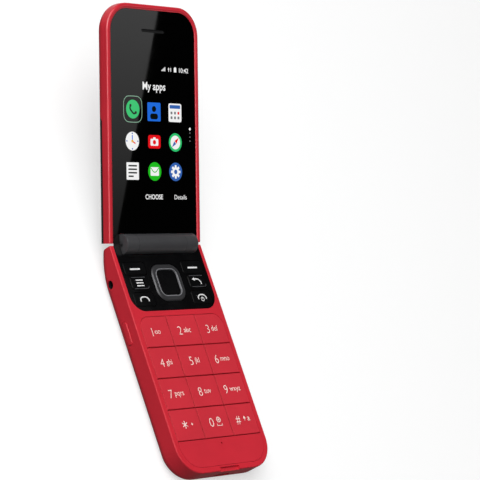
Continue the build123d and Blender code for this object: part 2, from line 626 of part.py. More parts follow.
def usb_socket():
    """Micro-USB shell with its contact tongue, open towards the chin end."""
    shell = extrude(RectangleRounded(*USB_OUTER, 0.9), USB_LENGTH)
    hollow = (USB_OUTER[0] - 2 * USB_WALL, USB_OUTER[1] - 2 * USB_WALL)
    shell -= extrude(RectangleRounded(*hollow, 0.6), USB_LENGTH - USB_BACK_WALL)
    tongue = extrude(Rectangle(*USB_TONGUE), USB_LENGTH - USB_BACK_WALL)
    shell += Pos(0, USB_WALL / 2, USB_BACK_WALL) * tongue
    return Pos(0, -BASE_LENGTH + USB_SKIN, USB_LEVEL) * Rot(-90, 0, 0) * shell


def camera_module():
    x, y, z = CAMERA_MODULE
    top = PLATE_UNDER - STACK_GAP
    body = block((x, y, 2.6), CAMERA_AT[0], -CAMERA_AT[1], top)
    window_back = BASE_BACK + CAMERA_WINDOW_THICKNESS + 0.05
    barrel = disc(2.9, CAMERA_AT[0], -CAMERA_AT[1], window_back, top - 2)
    return body + barrel - disc(CAMERA_EYE_RADIUS, CAMERA_AT[0], -CAMERA_AT[1], window_back - 1, window_back + 1)


def camera_window():
    return disc(CAMERA_WINDOW_RADIUS, CAMERA_AT[0], -CAMERA_AT[1], BASE_BACK, BASE_BACK + CAMERA_WINDOW_THICKNESS)


def flash_lens():
    lens = disc(FLASH_RADIUS, FLASH_AT[0], -FLASH_AT[1], BASE_BACK, BASE_BACK + 1.4)
    return lens + disc(FLASH_RADIUS - 0.3, FLASH_AT[0], -FLASH_AT[1], BASE_BACK + 1.3, PLATE_UNDER - STACK_GAP)


def loudspeaker():
    back = BASE_BACK + BASE_WALL + 0.1
    x, y, z = SPEAKER_SIZE
    body = block(SPEAKER_SIZE, SPEAKER_AT[0], -SPEAKER_AT[1], back + z)
    return body - block((x - 3, y - 3, 1.0), SPEAKER_AT[0], -SPEAKER_AT[1], back + 0.5)


def vibration_motor():
    top = PLATE_UNDER - STACK_GAP
    return disc(MOTOR_RADIUS, MOTOR_AT[0], -MOTOR_AT[1], top - MOTOR_THICKNESS, top)


def microphone():
    return block((3.6, 2.8, 1.1), 0, -MIC_AT, BOARD_TOP + 1.1)


def housing_screws():
    screws = []
    for x, y in screw_places():
        head_top = PLATE_UNDER - SEAT_GAP
        screw = peg(SCREW_HEAD_RADIUS, x, y, head_top - SCREW_HEAD, head_top)
        screw += peg(SCREW_RADIUS - SEAT_GAP, x, y, head_top - STACK_GAP, SCREW_TIP)
        screw -= Pos(x, y, head_top - SCREW_HEAD) * (Box(*SCREW_CROSS) + Rot(0, 0, 90) * Box(*SCREW_CROSS))
        screws.append(screw)
    return screws


# ---- base: keys ---------------------------------------------------------------------------------
def with_plunger(cap, x, y, cap_bottom):
    return cap + peg(PLUNGER_RADIUS, x, y, PLUNGER_TIP, cap_bottom + STACK_GAP)


def top_edges(cap):
    return cap.faces().sort_by(Axis.Z)[-1].edges()


def number_key(x_low, x_high, y_low, y_high):
    """One keycap, cut to the keypad's rounded outline and bevelled round its top."""
    half = KEY_GROOVE / 2
    cell = panel(x_high - x_low - 2 * half, y_low + half, y_high - half, x=(x_low + x_high) / 2)
    face = cell & keypad_opening(FIT_GAP)
    top = FACE + KEY_PROUD
    cap = slab(face, top - KEY_CAP, top)
    cap = chamfer(top_edges(cap), KEY_BEVEL)
    return with_plunger(cap, (x_low + x_high) / 2, (y_low + y_high) / 2, top - KEY_CAP)


def nav_key(x, y, size, proud):
    top = FACE + proud
    bottom = FACE - KEY_CAP
    cap = slab(nav_key_outline(size, x, y), bottom, top)
    cap = chamfer(top_edges(cap), min(0.3, 0.12 + proud / 2))
    return with_plunger(cap, x, y, bottom)


def nav_ring():
    """The four-way ring, crowned on top, with a post at its left and right."""
    top = FACE + NAV_PROUD
    bottom = top - NAV_CAP
    ring = slab(ring_outline(), bottom, top) - slab(ring_outline(NAV_RING_BAND), bottom - 1, top + 1)
    ring = chamfer(top_edges(ring), 0.45, 0.45)
    for x in (-RING_ARM_X, RING_ARM_X):
        ring += peg(RING_POST_RADIUS, x, NAV_Y, PLUNGER_TIP, bottom + STACK_GAP)
    return ring


def nav_pivot():
    """The rocking plate under the ring: ribs on its top carry the ring, and it rocks on ribs below."""
    top = FACE + NAV_PROUD - NAV_CAP - PIVOT_PLATE_GAP
    under = top - PIVOT_PLATE
    half_width = RING_ARM_X - RING_POST_RADIUS - 0.5
    half_height = NAV_RING_HEIGHT / 2 - 0.3
    inner_half_width, inner_half_height = half_width - 1.6, half_height - 3.2
    plate = slab(Pos(0, NAV_Y) * RectangleRounded(2 * half_width, 2 * half_height, 2.5), under, top)
    opening = Pos(0, NAV_Y) * RectangleRounded(2 * inner_half_width, 2 * inner_half_height, 1.5)
    plate -= slab(opening, under - 1, top + 1)
    lower_rib = rod(PIVOT_RIB_RADIUS, inner_half_width + 0.2, half_width - 0.2, NAV_Y, under)
    rib_length = half_height - inner_half_height - 0.4
    for side in (-1, 1):
        arm = NAV_Y + side * (half_height + inner_half_height) / 2
        plate += Pos(0, arm, top) * Rot(90, 0, 0) * Cylinder(PIVOT_RIB_RADIUS, rib_length)
        plate += lower_rib if side > 0 else lower_rib.mirror(Plane.YZ)
        plate += peg(RING_POST_RADIUS, 0, NAV_Y + side * RING_ARM_Y, PLUNGER_TIP, under + STACK_GAP)
    return plate


def select_key():
    top = FACE + NAV_PROUD - SELECT_SUNK
    bottom = top - SELECT_CAP
    cap = slab(ring_outline(NAV_RING_BAND + NAV_KEY_GAP), bottom, top)
    cap = chamfer(top_edges(cap), 0.25)
    return with_plunger(cap, 0, NAV_Y, bottom)


def side_key(side, at, size):
    """A pill-shaped key through the side wall, with a flange that keeps it in."""
    outer = HALF_WIDTH + SIDE_KEY_PROUD
    inner = FLANGE_OUTER - SIDE_FLANGE
    cap = pill(size[0], size[1], outer - inner - STACK_GAP)
    cap = chamfer(cap.faces().sort_by(Axis.X)[-1 if side > 0 else 0].edges(), SIDE_KEY_BEVEL)
    flange = pill(size[0] + 2 * SIDE_FLANGE_RIM, size[1] + 2 * SIDE_FLANGE_RIM, SIDE_FLANGE)
    cap_x = (outer + inner + STACK_GAP) / 2
    whole = Pos(side * cap_x, 0, 0) * cap + Pos(side * (inner + SIDE_FLANGE / 2), 0, 0) * flange
    return Pos(0, -at, SIDE_KEY_LEVEL) * whole


def volume_key():
    """The volume rocker, with a half-round rib in the middle that bears on the mid plate's edge."""
    axis_x = FLANGE_OUTER - SIDE_FLANGE / 2
    radius = axis_x - NOTCH_INNER - ROCKER_RIB_GAP
    rib = Cylinder(radius, ROCKER_RIB_HEIGHT) & Pos(-radius / 2, 0, 0) * Box(radius, FAR, FAR)
    return side_key(1, VOLUME_AT, VOLUME_KEY) + Pos(axis_x, -VOLUME_AT, SIDE_KEY_LEVEL) * rib


# ---- hinge --------------------------------------------------------------------------------------
CARTRIDGE_START = -CENTRE_KNUCKLE_HALF + STACK_GAP
CAM_START = CARTRIDGE_START + CARTRIDGE_WALL + STACK_GAP


def hinge_cartridge():
    """Steel can in the flip's knuckle; the base's cam shaft turns in its mouth."""
    can = rod(CARTRIDGE_RADIUS, CARTRIDGE_START, CARTRIDGE_START + CARTRIDGE_LENGTH)
    low = CARTRIDGE_START + CARTRIDGE_WALL
    high = CARTRIDGE_START + CARTRIDGE_LENGTH - CARTRIDGE_WALL
    can -= rod(CARTRIDGE_RADIUS - CARTRIDGE_WALL, low, high)
    return can - rod(CAM_SHAFT_RADIUS + RUNNING_CLEARANCE, CARTRIDGE_START - 1, low + STACK_GAP)


def hinge_cam_shaft():
    """The detent cam inside the cartridge, on the shaft that keys into the base's left knuckle."""
    cam = rod(CARTRIDGE_RADIUS - CARTRIDGE_WALL - 2 * RUNNING_CLEARANCE, CAM_START, CAM_START + CAM_THICKNESS)
    neck = rod(CAM_SHAFT_RADIUS, -CENTRE_KNUCKLE_HALF - KNUCKLE_GAP, CAM_START + STACK_GAP)
    detent = Pos(CAM_START + CAM_THICKNESS, 0, 0) * Rot(0, 45, 0) * Box(0.8, FAR, 0.8)
    return cam + neck + cam_shaft_end() - detent


def hinge_spring():
    """The compression spring that presses on the cam, closed off square at its ends by the can."""
    wire = SPRING_WIRE / 2
    low = CAM_START + CAM_THICKNESS + wire + SEAT_GAP
    high = CARTRIDGE_START + CARTRIDGE_LENGTH - CARTRIDGE_WALL - wire - SEAT_GAP
    radius = CARTRIDGE_RADIUS - CARTRIDGE_WALL - wire - RUNNING_CLEARANCE
    coil = Helix(pitch=(high - low) / SPRING_TURNS, height=high - low, radius=radius)
    section = Plane(origin=coil @ 0, z_dir=coil % 0, x_dir=(1, 0, 0)) * Rectangle(SPRING_WIRE, SPRING_WIRE)
    return Pos(low, 0, 0) * Rot(0, 90, 0) * sweep(section, path=coil, is_frenet=True)


def hinge_pivot():
    start = CENTRE_KNUCKLE_HALF + KNUCKLE_GAP - PIVOT_LENGTH / 2
    return rod(PIVOT_RADIUS, start, start + PIVOT_LENGTH) - rod(PIVOT_BORE_RADIUS, start - 1, start + PIVOT_LENGTH + 1)


def hinge_flex():
    """The flex between the halves, rolled up inside the middle knuckle."""
    start = CARTRIDGE_START + CARTRIDGE_LENGTH + 7 * STACK_GAP
    roll = rod(FLEX_RADIUS, start, start + FLEX_LENGTH)
    roll -= rod(FLEX_RADIUS - FLEX_THICKNESS, start - 1, start + FLEX_LENGTH + 1)
    slit_depth = 2 * FLEX_RADIUS * sin(radians(FLEX_SLIT / 2))
    return roll - Pos(start + FLEX_LENGTH / 2, FLEX_RADIUS, 0) * Box(FAR, slit_depth, slit_depth)


# ---- flip ---------------------------------------------------------------------------------------
def lens_opening(shrink=0.0):
    half = HALF_WIDTH - BEZEL_RIM - shrink
    return panel(2 * half, -1.0, FLIP_LENGTH - BEZEL_RIM - shrink, 0, CORNER_RADIUS - BEZEL_RIM - shrink)


def flip_bezel():
    """The red frame round the main lens, with the ledge that the lens is glued to."""
    frame = flip_form() & slab(Rectangle(FAR, 2 * FAR), BEZEL_SPLIT, FACE)
    rim = [e for e in frame.edges() if e.position_at(0.5).Z > FACE - 0.01
           and (abs(e.position_at(0.5).X) > BODY_WIDTH / 4 or e.position_at(0.5).Y > FLIP_LENGTH / 2)]
    frame = fillet(rim, FRONT_EDGE_RADIUS)
    frame -= slab(lens_opening(), FACE - LENS_THICKNESS, FACE + 1)
    frame -= slab(lens_opening(LENS_LEDGE), BEZEL_SPLIT - 1, FACE)
    return frame - barrel_pocket()


def outer_lens_region(grow=0.0):
    half = HALF_WIDTH + 1
    outline = panel(2 * half, -1.0, OUTER_LENS_LENGTH + grow)
    below = slab(outline, FLIP_BACK - 1, FACE - OUTER_LENS_WRAP + grow)
    corner = OUTER_LENS_CORNER
    cutter = panel(BODY_WIDTH, -1.0, OUTER_LENS_LENGTH + grow, 0, corner)
    return below & slab(cutter, FLIP_BACK - 1, FACE)


def outer_lens():
    """The black wrapped panel over the upper part of the flip's back."""
    layer = flip_form() - flip_form(OUTER_LENS_LAYER, END_GAP + 2, 1)
    return (layer & outer_lens_region()) - barrel_pocket()


def flip_outer_cover():
    shell = flip_form() & slab(Rectangle(FAR, 2 * FAR), FLIP_BACK - 1, BEZEL_SPLIT)
    hollow = flip_form(COVER_SHELL, 0, 1, bevelled=True)
    shell -= hollow & slab(panel(FAR, END_GAP + COVER_SHELL, FAR), -FAR, FAR)
    layer = flip_form() - flip_form(OUTER_LENS_LAYER + 0.03, END_GAP + 2, 1)
    shell -= layer & outer_lens_region(0.06)
    return shell - barrel_pocket()


def main_lens():
    lens = slab(lens_opening(FIT_GAP) & panel(FAR, END_GAP, FAR), FACE - LENS_THICKNESS + 0.05, FACE - 0.05)
    lens -= rod(POCKET_RADIUS, -POCKET_HALF_LENGTH, POCKET_HALF_LENGTH)
    return lens - Pos(0, EARPIECE_AT, FACE) * extrude(SlotOverall(*EARPIECE_SLOT), 2, both=True)


def earpiece_mesh():
    low = FACE - LENS_THICKNESS + 0.25
    return Pos(0, EARPIECE_AT, low) * extrude(SlotOverall(EARPIECE_SLOT[0] - 0.1, EARPIECE_SLOT[1] - 0.1), 0.3)


def under_lens():
    return FACE - LENS_THICKNESS - 0.05


def main_display():
    return block(MAIN_DISPLAY, 0, MAIN_DISPLAY_AT, under_lens())


def earpiece():
    return block(EARPIECE_BODY, 0, EARPIECE_AT, under_lens())


def flip_magnet():
    return block(MAGNET, HALF_WIDTH - MAGNET_INSETS[0], FLIP_LENGTH - MAGNET_INSETS[1], under_lens())


def frame_level():
    return under_lens() - MAIN_DISPLAY[2] - STACK_GAP / 2


def flip_frame():
    """The flip's black inner frame: a plate between the displays and the middle hinge knuckle."""
    top = frame_level()
    width = 2 * (HALF_WIDTH - BEZEL_RIM - LENS_LEDGE - FIT_GAP)
    plate = slab(panel(width, END_GAP + 5.0, EARPIECE_AT - FLIP_PLATE_TO_EARPIECE), top - FLIP_PLATE, top)
    knuckle = rod(BARREL_RADIUS, -CENTRE_KNUCKLE_HALF, CENTRE_KNUCKLE_HALF)
    arm_top = under_lens() - 0.05
    arm_bottom = FLIP_BACK + COVER_SHELL + 0.1
    arm = block((2 * CENTRE_KNUCKLE_HALF, 8.0, arm_top - arm_bottom), 0, END_GAP + COVER_SHELL + 4.1, arm_top)
    frame = plate + knuckle + arm
    bore_end = CENTRE_KNUCKLE_HALF - PIVOT_LENGTH / 2 - 0.5
    frame -= rod(CARTRIDGE_RADIUS + CARTRIDGE_CLEARANCE, -CENTRE_KNUCKLE_HALF - 1, bore_end)
    return frame - rod(PIVOT_RADIUS + RUNNING_CLEARANCE, bore_end - 1, CENTRE_KNUCKLE_HALF + 1)


def outer_display():
    return block(OUTER_DISPLAY, 0, OUTER_DISPLAY_AT, frame_level() - FLIP_PLATE - 0.02)


def flip_board():
    return block(FLIP_BOARD, 0, FLIP_BOARD_AT, frame_level() - FLIP_PLATE - 0.02)


# ---- assembly -----------------------------------------------------------------------------------
def base_pieces():
    pieces = {
        "front_housing": front_housing(), "rear_housing": rear_housing(), "battery_cover": battery_cover(),
        "chin_plate": chin_plate(), "nav_fascia": nav_fascia(), "base_frame": base_frame(),
        "main_board": main_board(), "key_domes": key_domes(), "keypad_mat": keypad_mat(),
        "battery": battery(), "battery_contacts": battery_contacts(), "sim_reader": sim_reader(),
        "headset_socket": headset_socket(), "usb_socket": usb_socket(), "camera_module": camera_module(),
        "camera_window": camera_window(), "flash_lens": flash_lens(), "loudspeaker": loudspeaker(),
        "vibration_motor": vibration_motor(), "microphone": microphone(), "housing_screws": housing_screws(),
        "nav_ring": nav_ring(), "nav_pivot": nav_pivot(), "select_key": select_key(),
        "emergency_key": side_key(-1, EMERGENCY_AT, EMERGENCY_KEY),
        "volume_key": volume_key(), "hinge_pivot": hinge_pivot(),
        "hinge_cam_shaft": hinge_cam_shaft(),
    }
    for name, x_low, x_high, y_low, y_high in number_key_cells():
        pieces[name] = number_key(x_low, x_high, y_low, y_high)
    for name, (x, y, size, proud) in NAV_KEYS.items():
        pieces[name] = nav_key(x, y, size, proud)
    return pieces


def flip_pieces():
    return {
        "flip_bezel": flip_bezel(), "flip_outer_cover": flip_outer_cover(), "outer_lens": outer_lens(),
        "main_lens": main_lens(), "earpiece_mesh": earpiece_mesh(), "main_display": main_display(),
        "earpiece": earpiece(), "flip_magnet": flip_magnet(), "flip_frame": flip_frame(),
        "outer_display": outer_display(), "flip_board": flip_board(), "hinge_flex": hinge_flex(),
        "hinge_cartridge": hinge_cartridge(), "hinge_spring": hinge_spring(),
    }


def solids_of(shape):
    shapes = shape if isinstance(shape, list) else [shape]
    return [solid for item in shapes for solid in item.solids()]


def write(pieces, place):
    for name, shape in pieces.items():
        solids = [place * solid for solid in solids_of(shape)]
        whole = solids[0] if len(solids) == 1 else Compound(children=solids)
        whole.label = name
        export_step(whole, f"parts/{name}.step")


def main():
    os.makedirs("parts", exist_ok=True)
    to_rest = Pos(0, BASE_LENGTH / 2, -BASE_BACK)
    write(base_pieces(), to_rest)
    write(flip_pieces(), to_rest * Rot(OPEN_TILT, 0, 0))


main()
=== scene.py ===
"""Looks of the red clamshell phone: finishes, printed legends, the lit screens and small trim.

Places on the phone are given in hinge coordinates, in millimetres: X along the hinge, Y away
from it (the base lies towards -Y, the flip towards +Y as if opened flat) and Z out of the inner
faces. Camera, lights, floor and cards are in metres, in the frame's own coordinates.
"""
import json
from math import cos, pi, radians, sin

import bpy
from mathutils import Matrix, Vector


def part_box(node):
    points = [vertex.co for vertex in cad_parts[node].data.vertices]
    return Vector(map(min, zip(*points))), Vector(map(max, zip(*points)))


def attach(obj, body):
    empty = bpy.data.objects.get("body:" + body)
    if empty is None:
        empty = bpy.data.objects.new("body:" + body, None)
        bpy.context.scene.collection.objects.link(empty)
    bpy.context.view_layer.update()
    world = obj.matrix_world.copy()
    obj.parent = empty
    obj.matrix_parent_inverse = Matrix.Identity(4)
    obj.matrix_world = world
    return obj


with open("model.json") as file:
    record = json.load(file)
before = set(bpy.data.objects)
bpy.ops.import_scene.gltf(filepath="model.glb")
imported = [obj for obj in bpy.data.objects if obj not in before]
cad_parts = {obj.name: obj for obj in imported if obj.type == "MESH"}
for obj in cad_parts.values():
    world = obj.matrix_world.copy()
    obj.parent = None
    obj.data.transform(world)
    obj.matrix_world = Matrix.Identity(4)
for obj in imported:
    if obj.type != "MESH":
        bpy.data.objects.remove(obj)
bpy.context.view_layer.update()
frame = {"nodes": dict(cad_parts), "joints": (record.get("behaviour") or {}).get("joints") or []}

MM = 0.001
HINGE = Vector(next(j for j in frame["joints"] if j["name"] == "hinge")["pos_m"])
OPEN_TILT = radians(24)
BASE_PLACE = Matrix.Translation(HINGE)
FLIP_PLACE = BASE_PLACE @ Matrix.Rotation(OPEN_TILT, 4, "X")

# ---- sizes, in millimetres ----------------------------------------------------------------------
INK = 0.03                   # how far a print stands above its surface
INK_FOOT = 0.01              # how far it reaches into the surface
CAPITAL = 0.729              # height of a capital in the built-in typeface, as a share of its size
LENS_LEVEL = -0.45           # outer face of the main lens
FLIP_BACK = -7.4             # outer face of the flip
FACE = -0.4                  # inner face of each half
LAYER = 0.012                # one layer of lit picture elements over another

DIGIT_HEIGHT = 4.0
LETTER_HEIGHT = 2.45
LETTER_RAISE = 0.95          # foot of the letters above the foot of the digit
LEGEND_GAP = 1.25            # from a digit to its letters
LEGEND_SHIFT = -0.1          # middle of a legend, from the middle of its key
DIGIT_STYLE = {"align": "LEFT", "weight": -0.02, "narrow": 0.95}
LETTER_STYLE = {"align": "LEFT", "weight": -0.004, "narrow": 0.93}
SIGN_LINE = 0.34             # line width of the small signs beside star, zero and hash
STAR_AT = -1.0
STAR_REACH = 0.41            # from the star's middle to a tip, as a share of the digit height
STAR_LINE = 0.42
PLUS_AT = 3.1
PLUS_REACH = 0.55
RINGED_DOT_AT = (2.35, 0.75)
RINGED_DOT_RADIUS = 1.05
ARROW_AT = 1.3

HANDSET_LINE = 0.62
HANDSET = ((-2.35, -0.95), (-2.3, 0.05), (-1.4, 0.85), (0.0, 1.05), (1.4, 0.85), (2.3, 0.05),
           (2.35, -0.95))
BACK_ARROW = ((-1.9, 0.85), (-0.4, 0.95), (1.0, 0.6), (1.8, -0.2), (2.1, -1.4))
MENU_LINES = (1.25, 0, -1.25)

RING_CENTRE = -17.4
RING_INNER = (11.75, 11.35, 2.7)             # width, height and corner radius
RING_LINE = 0.5
RING_LINE_OUT = 0.35         # middle of the painted highlight line outside the ring's opening
EDGE_LINE = 0.3
EDGE_INSET = 0.3             # middle of a painted highlight line inside its key's edge

RIM_LINE = 26.1              # middle of the flip's rim, from the phone's centre line
RIM_START = 0.8              # end of the rim beside the hinge
RIM_END = 98.7
RIM_CORNER = 10.9
RIM_WIDTH = 2.2
RIM_CROWN = 0.3              # how far the rim's crown stands above the inner face
RIM_ROOT = 0.9

BARREL_RADIUS = 4.33
BARREL_END = 21.0            # flat end of the barrel, from the phone's centre line
BARREL_CAP = 3.6
CAP_ROUND = 0.45
CAP_GROOVE_IN = 0.5          # from the rounded edge to the turned groove on the flat end
CAP_GROOVE = (0.15, 0.12)    # width of each wall of the groove, and its depth
SMOOTH_BELOW = radians(40)   # faces of the rim and caps that meet at less than this shade as one
LETTER_STEPS = 4             # straight runs in a curve of a letter, of a drawn line and of a corner
LINE_STEPS = 8
CORNER_STEPS = 6

ICON_COLUMNS = (-13.0, 0.0, 12.6)
ICON_ROWS = (55.2, 42.7, 30.3)
ICON = 3.9                   # half the width of an icon
CHOSEN = (0.5, 0.75)         # how far the chosen icon is set off from its place in the grid
CHOSEN_OUTLINE = (10.6, 10.7, 3.0)           # width, height and corner radius
STATUS_LINE = 73.3
HEADING_LINE = 66.0
LABEL_LINE = 19.7
RIGHT_TEXT = 15.4            # where the clock and the right label start
PAGE_DOTS = (48.6, 46.9, 45.2, 43.5)
PAGE_DOTS_AT = 21.6
OUTER_CLOCK_AT = 28.0

# ---- camera and light, in metres ----------------------------------------------------------------
CAMERA_AT = Vector((-0.65938, -0.21035, 0.60233))
CAMERA_RIGHT = Vector((0.67141, -0.3132, 0.67165))
CAMERA_UP = Vector((0.01021, 0.91013, 0.4142))
CAMERA_BACK = Vector((-0.74102, -0.27124, 0.61426))
LENS_LENGTH = 165.56
CAMERA_SHIFT = (-0.0049, 0.0038)

FLOOR_SIZE = 8.0
FLOOR_LEVEL = -0.0002
FLOOR_THROWN = 0.16          # tone of the floor for the light that it throws on the phone
FLOOR_SEEN = 0.52            # its tone for the eye and for reflections, where it also glows
FLOOR_GLOW = 0.55

KEY_SOFTBOX = {"at": (-0.5, 0.5, 1.1), "aim": (0, 0.03, 0), "size": (1.3, 1.3), "power": 13.1}
SIDE_STRIP = {"at": (-0.8, 0.03, 0.95), "aim": (0, 0.03, 0.01), "size": (1.3, 0.5), "power": 7.2}
AIR_STRENGTH = 0.14
BLACK_FLAG = ((0.62, -0.9, 0.3), (0.62, 0.9, 0.3), (0.5, 0.9, 1.15), (0.5, -0.9, 1.15))
FLOOR_FLAG = ((-0.17, -0.16, -0.0001), (0.13, -0.16, -0.0001), (0.13, 0.2, -0.0001),
              (-0.17, 0.2, -0.0001))
FLOOR_FLAG_LEVEL = 0.15
SHEEN_CORNERS = ((-27.0, 101.0), (4.1, 101.0), (-22.9, 3.0), (-27.0, 3.0))   # mm, on the main lens
SHEEN_LEVELS = (1.0, 1.0, 0.2, 0.2)
SHEEN_DISTANCE = 0.22


# ---- helpers ------------------------------------------------------------------------------------
def linear(hex_colour):
    """An sRGB hex colour as linear red, green, blue and alpha."""
    values = [int(hex_colour[i:i + 2], 16) / 255 for i in (1, 3, 5)]
    return (*[v / 12.92 if v <= 0.04045 else ((v + 0.055) / 1.055) ** 2.4 for v in values], 1.0)


def shade(colour, factor):
    """A linear colour made darker or lighter, at most white."""
    return (*[min(1.0, v * factor) for v in colour[:3]], 1.0)


def grey(level):
    return (level, level, level, 1)


def add_node(tree, kind, inputs=None, **settings):
    """Adds a node; an input is given a value, or another node's output to link to it."""
    made = tree.nodes.new(kind)
    for name, value in settings.items():
        setattr(made, name, value)
    for name, value in (inputs or {}).items():
        if isinstance(value, bpy.types.NodeSocket):
            tree.links.new(value, made.inputs[name])
        else:
            made.inputs[name].default_value = value
    return made


def select_only(*objects):
    bpy.ops.object.select_all(action="DESELECT")
    for item in objects:
        item.select_set(True)
    bpy.context.view_layer.objects.active = objects[-1]


def to_mesh(item):
    select_only(item)
    bpy.ops.object.convert(target="MESH")
    return bpy.context.object


def smooth(item):
    select_only(item)
    bpy.ops.object.shade_smooth_by_angle(angle=SMOOTH_BELOW)
    return item


def paint(item, material):
    item.data.materials.clear()
    item.data.materials.append(material)
    return item


def shifted(x, y, z=0.0):
    """A move, in millimetres."""
    return Matrix.Translation((x * MM, y * MM, z * MM))


def joined(name, pieces):
    """Joins pieces into one, under a new name."""
    select_only(*pieces)
    if len(pieces) > 1:
        bpy.ops.object.join()
    whole = bpy.context.object
    whole.name = whole.data.name = name
    return whole


def settle(item, place, body):
    """Moves a finished piece's mesh to its place and rides it on its body."""
    select_only(item)
    bpy.ops.object.transform_apply(location=True, rotation=True, scale=True)
    item.data.transform(place)
    item.data.update()
    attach(item, body)


# ---- materials ----------------------------------------------------------------------------------
DRIFT_SCALE = 55.0           # one drift of colour about every 18 mm
TOUCH_SCALE = 130.0          # one smudge about every 8 mm
NOISE_RANGE = (0.3, 0.7)     # where nearly all of a noise lies
LEAST_ROUGHNESS = 0.02
WALL_STARTS, WALL_FULL = 0.97, 0.8           # how far up a face looks where its painted wall shade starts, and where it is full
                                             # and where it is full
WALL_ROUGHNESS = 0.6
GRAIN_STRENGTH = 0.6
DISPLAY_ROW = 0.9            # mm; the real rows are finer, drawn this wide so that they show
DISPLAY_ROW_TONE = 0.94
DISPLAY_ROUGHNESS = 0.06
DISPLAY_BLACK = (0.003, 0.003, 0.003, 1.0)


def new_material(name):
    """A new material with its node tree."""
    material = bpy.data.materials.new(name)
    material.use_nodes = True
    return material, material.node_tree


def moulded(name, colour, roughness, grain=0.35, depth=0.006, mottle=0.05, smudge=0.06, painted_wall_shade=None,
            **shader):
    """A moulded or painted surface: a fine grain, a faint drift of colour and uneven gloss.

    grain and depth are the mould texture's width and height in millimetres. The real texture is
    finer, and is drawn this coarse so that it shows. painted_wall_shade is painted shade: a darker
    tone on the steep sides that stand in a narrow gap, such as the grooves between keys and
    plates. Those sides are also given a higher roughness.
    """
    material, tree = new_material(name)
    surface = tree.nodes["Principled BSDF"]
    place = add_node(tree, "ShaderNodeTexCoord").outputs["Object"]
    drift = add_node(tree, "ShaderNodeTexNoise",
                     {"Vector": place, "Scale": DRIFT_SCALE, "Detail": 3.0})
    ramp = add_node(tree, "ShaderNodeValToRGB", {"Fac": drift.outputs["Fac"]})
    tones = (shade(linear(colour), 1 - mottle), shade(linear(colour), 1 + mottle))
    for stop, position, tone in zip(ramp.color_ramp.elements, NOISE_RANGE, tones):
        stop.position, stop.color = position, tone
    touch = add_node(tree, "ShaderNodeTexNoise",
                     {"Vector": place, "Scale": TOUCH_SCALE, "Detail": 5.0})
    uneven = add_node(tree, "ShaderNodeMapRange", {
        "Value": touch.outputs["Fac"], "From Min": NOISE_RANGE[0], "From Max": NOISE_RANGE[1],
        "To Min": max(LEAST_ROUGHNESS, roughness - smudge), "To Max": roughness + smudge})
    tone, dullness = ramp.outputs["Color"], uneven.outputs["Result"]
    # painted shade: faces that turn steeply away from the top get a darker tone and a higher
    # roughness
    if painted_wall_shade:
        facing = add_node(tree, "ShaderNodeNewGeometry").outputs["Normal"]
        level = add_node(tree, "ShaderNodeSeparateXYZ", {"Vector": facing}).outputs["Z"]
        wall_shade_mask = add_node(tree, "ShaderNodeMapRange", {
            "Value": level, "From Min": WALL_STARTS, "From Max": WALL_FULL}).outputs["Result"]
        tone = add_node(tree, "ShaderNodeMixRGB", {
            "Fac": wall_shade_mask, "Color1": tone, "Color2": linear(painted_wall_shade)}).outputs["Color"]
        rough = add_node(tree, "ShaderNodeMapRange", {"Value": wall_shade_mask, "To Max": WALL_ROUGHNESS})
        dullness = add_node(tree, "ShaderNodeMath", {0: rough.outputs["Result"], 1: dullness},
                            operation="MAXIMUM").outputs[0]
    tree.links.new(tone, surface.inputs["Base Color"])
    tree.links.new(dullness, surface.inputs["Roughness"])
    if depth:
        texture = add_node(tree, "ShaderNodeTexNoise",
                           {"Vector": place, "Scale": 1 / (grain * MM), "Detail": 2.0})
        bump = add_node(tree, "ShaderNodeBump", {
            "Height": texture.outputs["Fac"], "Strength": GRAIN_STRENGTH, "Distance": depth * MM})
        tree.links.new(bump.outputs["Normal"], surface.inputs["Normal"])
    for socket, value in shader.items():
        surface.inputs[socket.replace("_", " ")].default_value = value
    return material


def lit(name, colour, strength=0.9):
    """A lit part of a display behind gloss glass, with the faint rows of its picture elements."""
    material, tree = new_material(name)
    surface = tree.nodes["Principled BSDF"]
    surface.inputs["Base Color"].default_value = DISPLAY_BLACK
    surface.inputs["Roughness"].default_value = DISPLAY_ROUGHNESS
    surface.inputs["Emission Strength"].default_value = strength
    place = add_node(tree, "ShaderNodeTexCoord").outputs["Object"]
    rows = add_node(tree, "ShaderNodeTexWave",
                    {"Vector": place, "Scale": 1 / (DISPLAY_ROW * MM), "Distortion": 0.0},
                    bands_direction="X")
    ramp = add_node(tree, "ShaderNodeValToRGB", {"Fac": rows.outputs["Fac"]})
    ramp.color_ramp.elements[0].color = shade(linear(colour), DISPLAY_ROW_TONE)
    ramp.color_ramp.elements[1].color = linear(colour)
    tree.links.new(ramp.outputs["Color"], surface.inputs["Emission Color"])
    return material


# red polycarbonate, spark-textured in the mould: a satin face that still shows a soft light
RED_SHELL = moulded("red_polycarbonate_shell", "#D02A38", 0.38, smudge=0.05,
                    Specular_IOR_Level=0.22)
# the keys and the chin plate get painted shade on their steep sides: a darker red that darkens the
# grooves between them
RED_KEYS = moulded("red_polycarbonate_keycaps", "#D0303D", 0.42, grain=0.25, smudge=0.04,
                   painted_wall_shade="#B8202C", Specular_IOR_Level=0.25)
RED_CHIN = moulded("red_polycarbonate_chin", "#D02C3A", 0.38, smudge=0.05, painted_wall_shade="#B8202C",
                   Specular_IOR_Level=0.25)
# the rim round the glass is polished a little finer, so it carries a line of light
RED_RIM = moulded("red_polycarbonate_rim", "#D02A38", 0.22, depth=0.003, smudge=0.03,
                  Specular_IOR_Level=0.8)
# piano-black acrylic: near black, with the faint haze that fingers leave
BLACK_FASCIA = moulded("black_acrylic_fascia", "#0A0A0B", 0.17, depth=0, smudge=0.07)
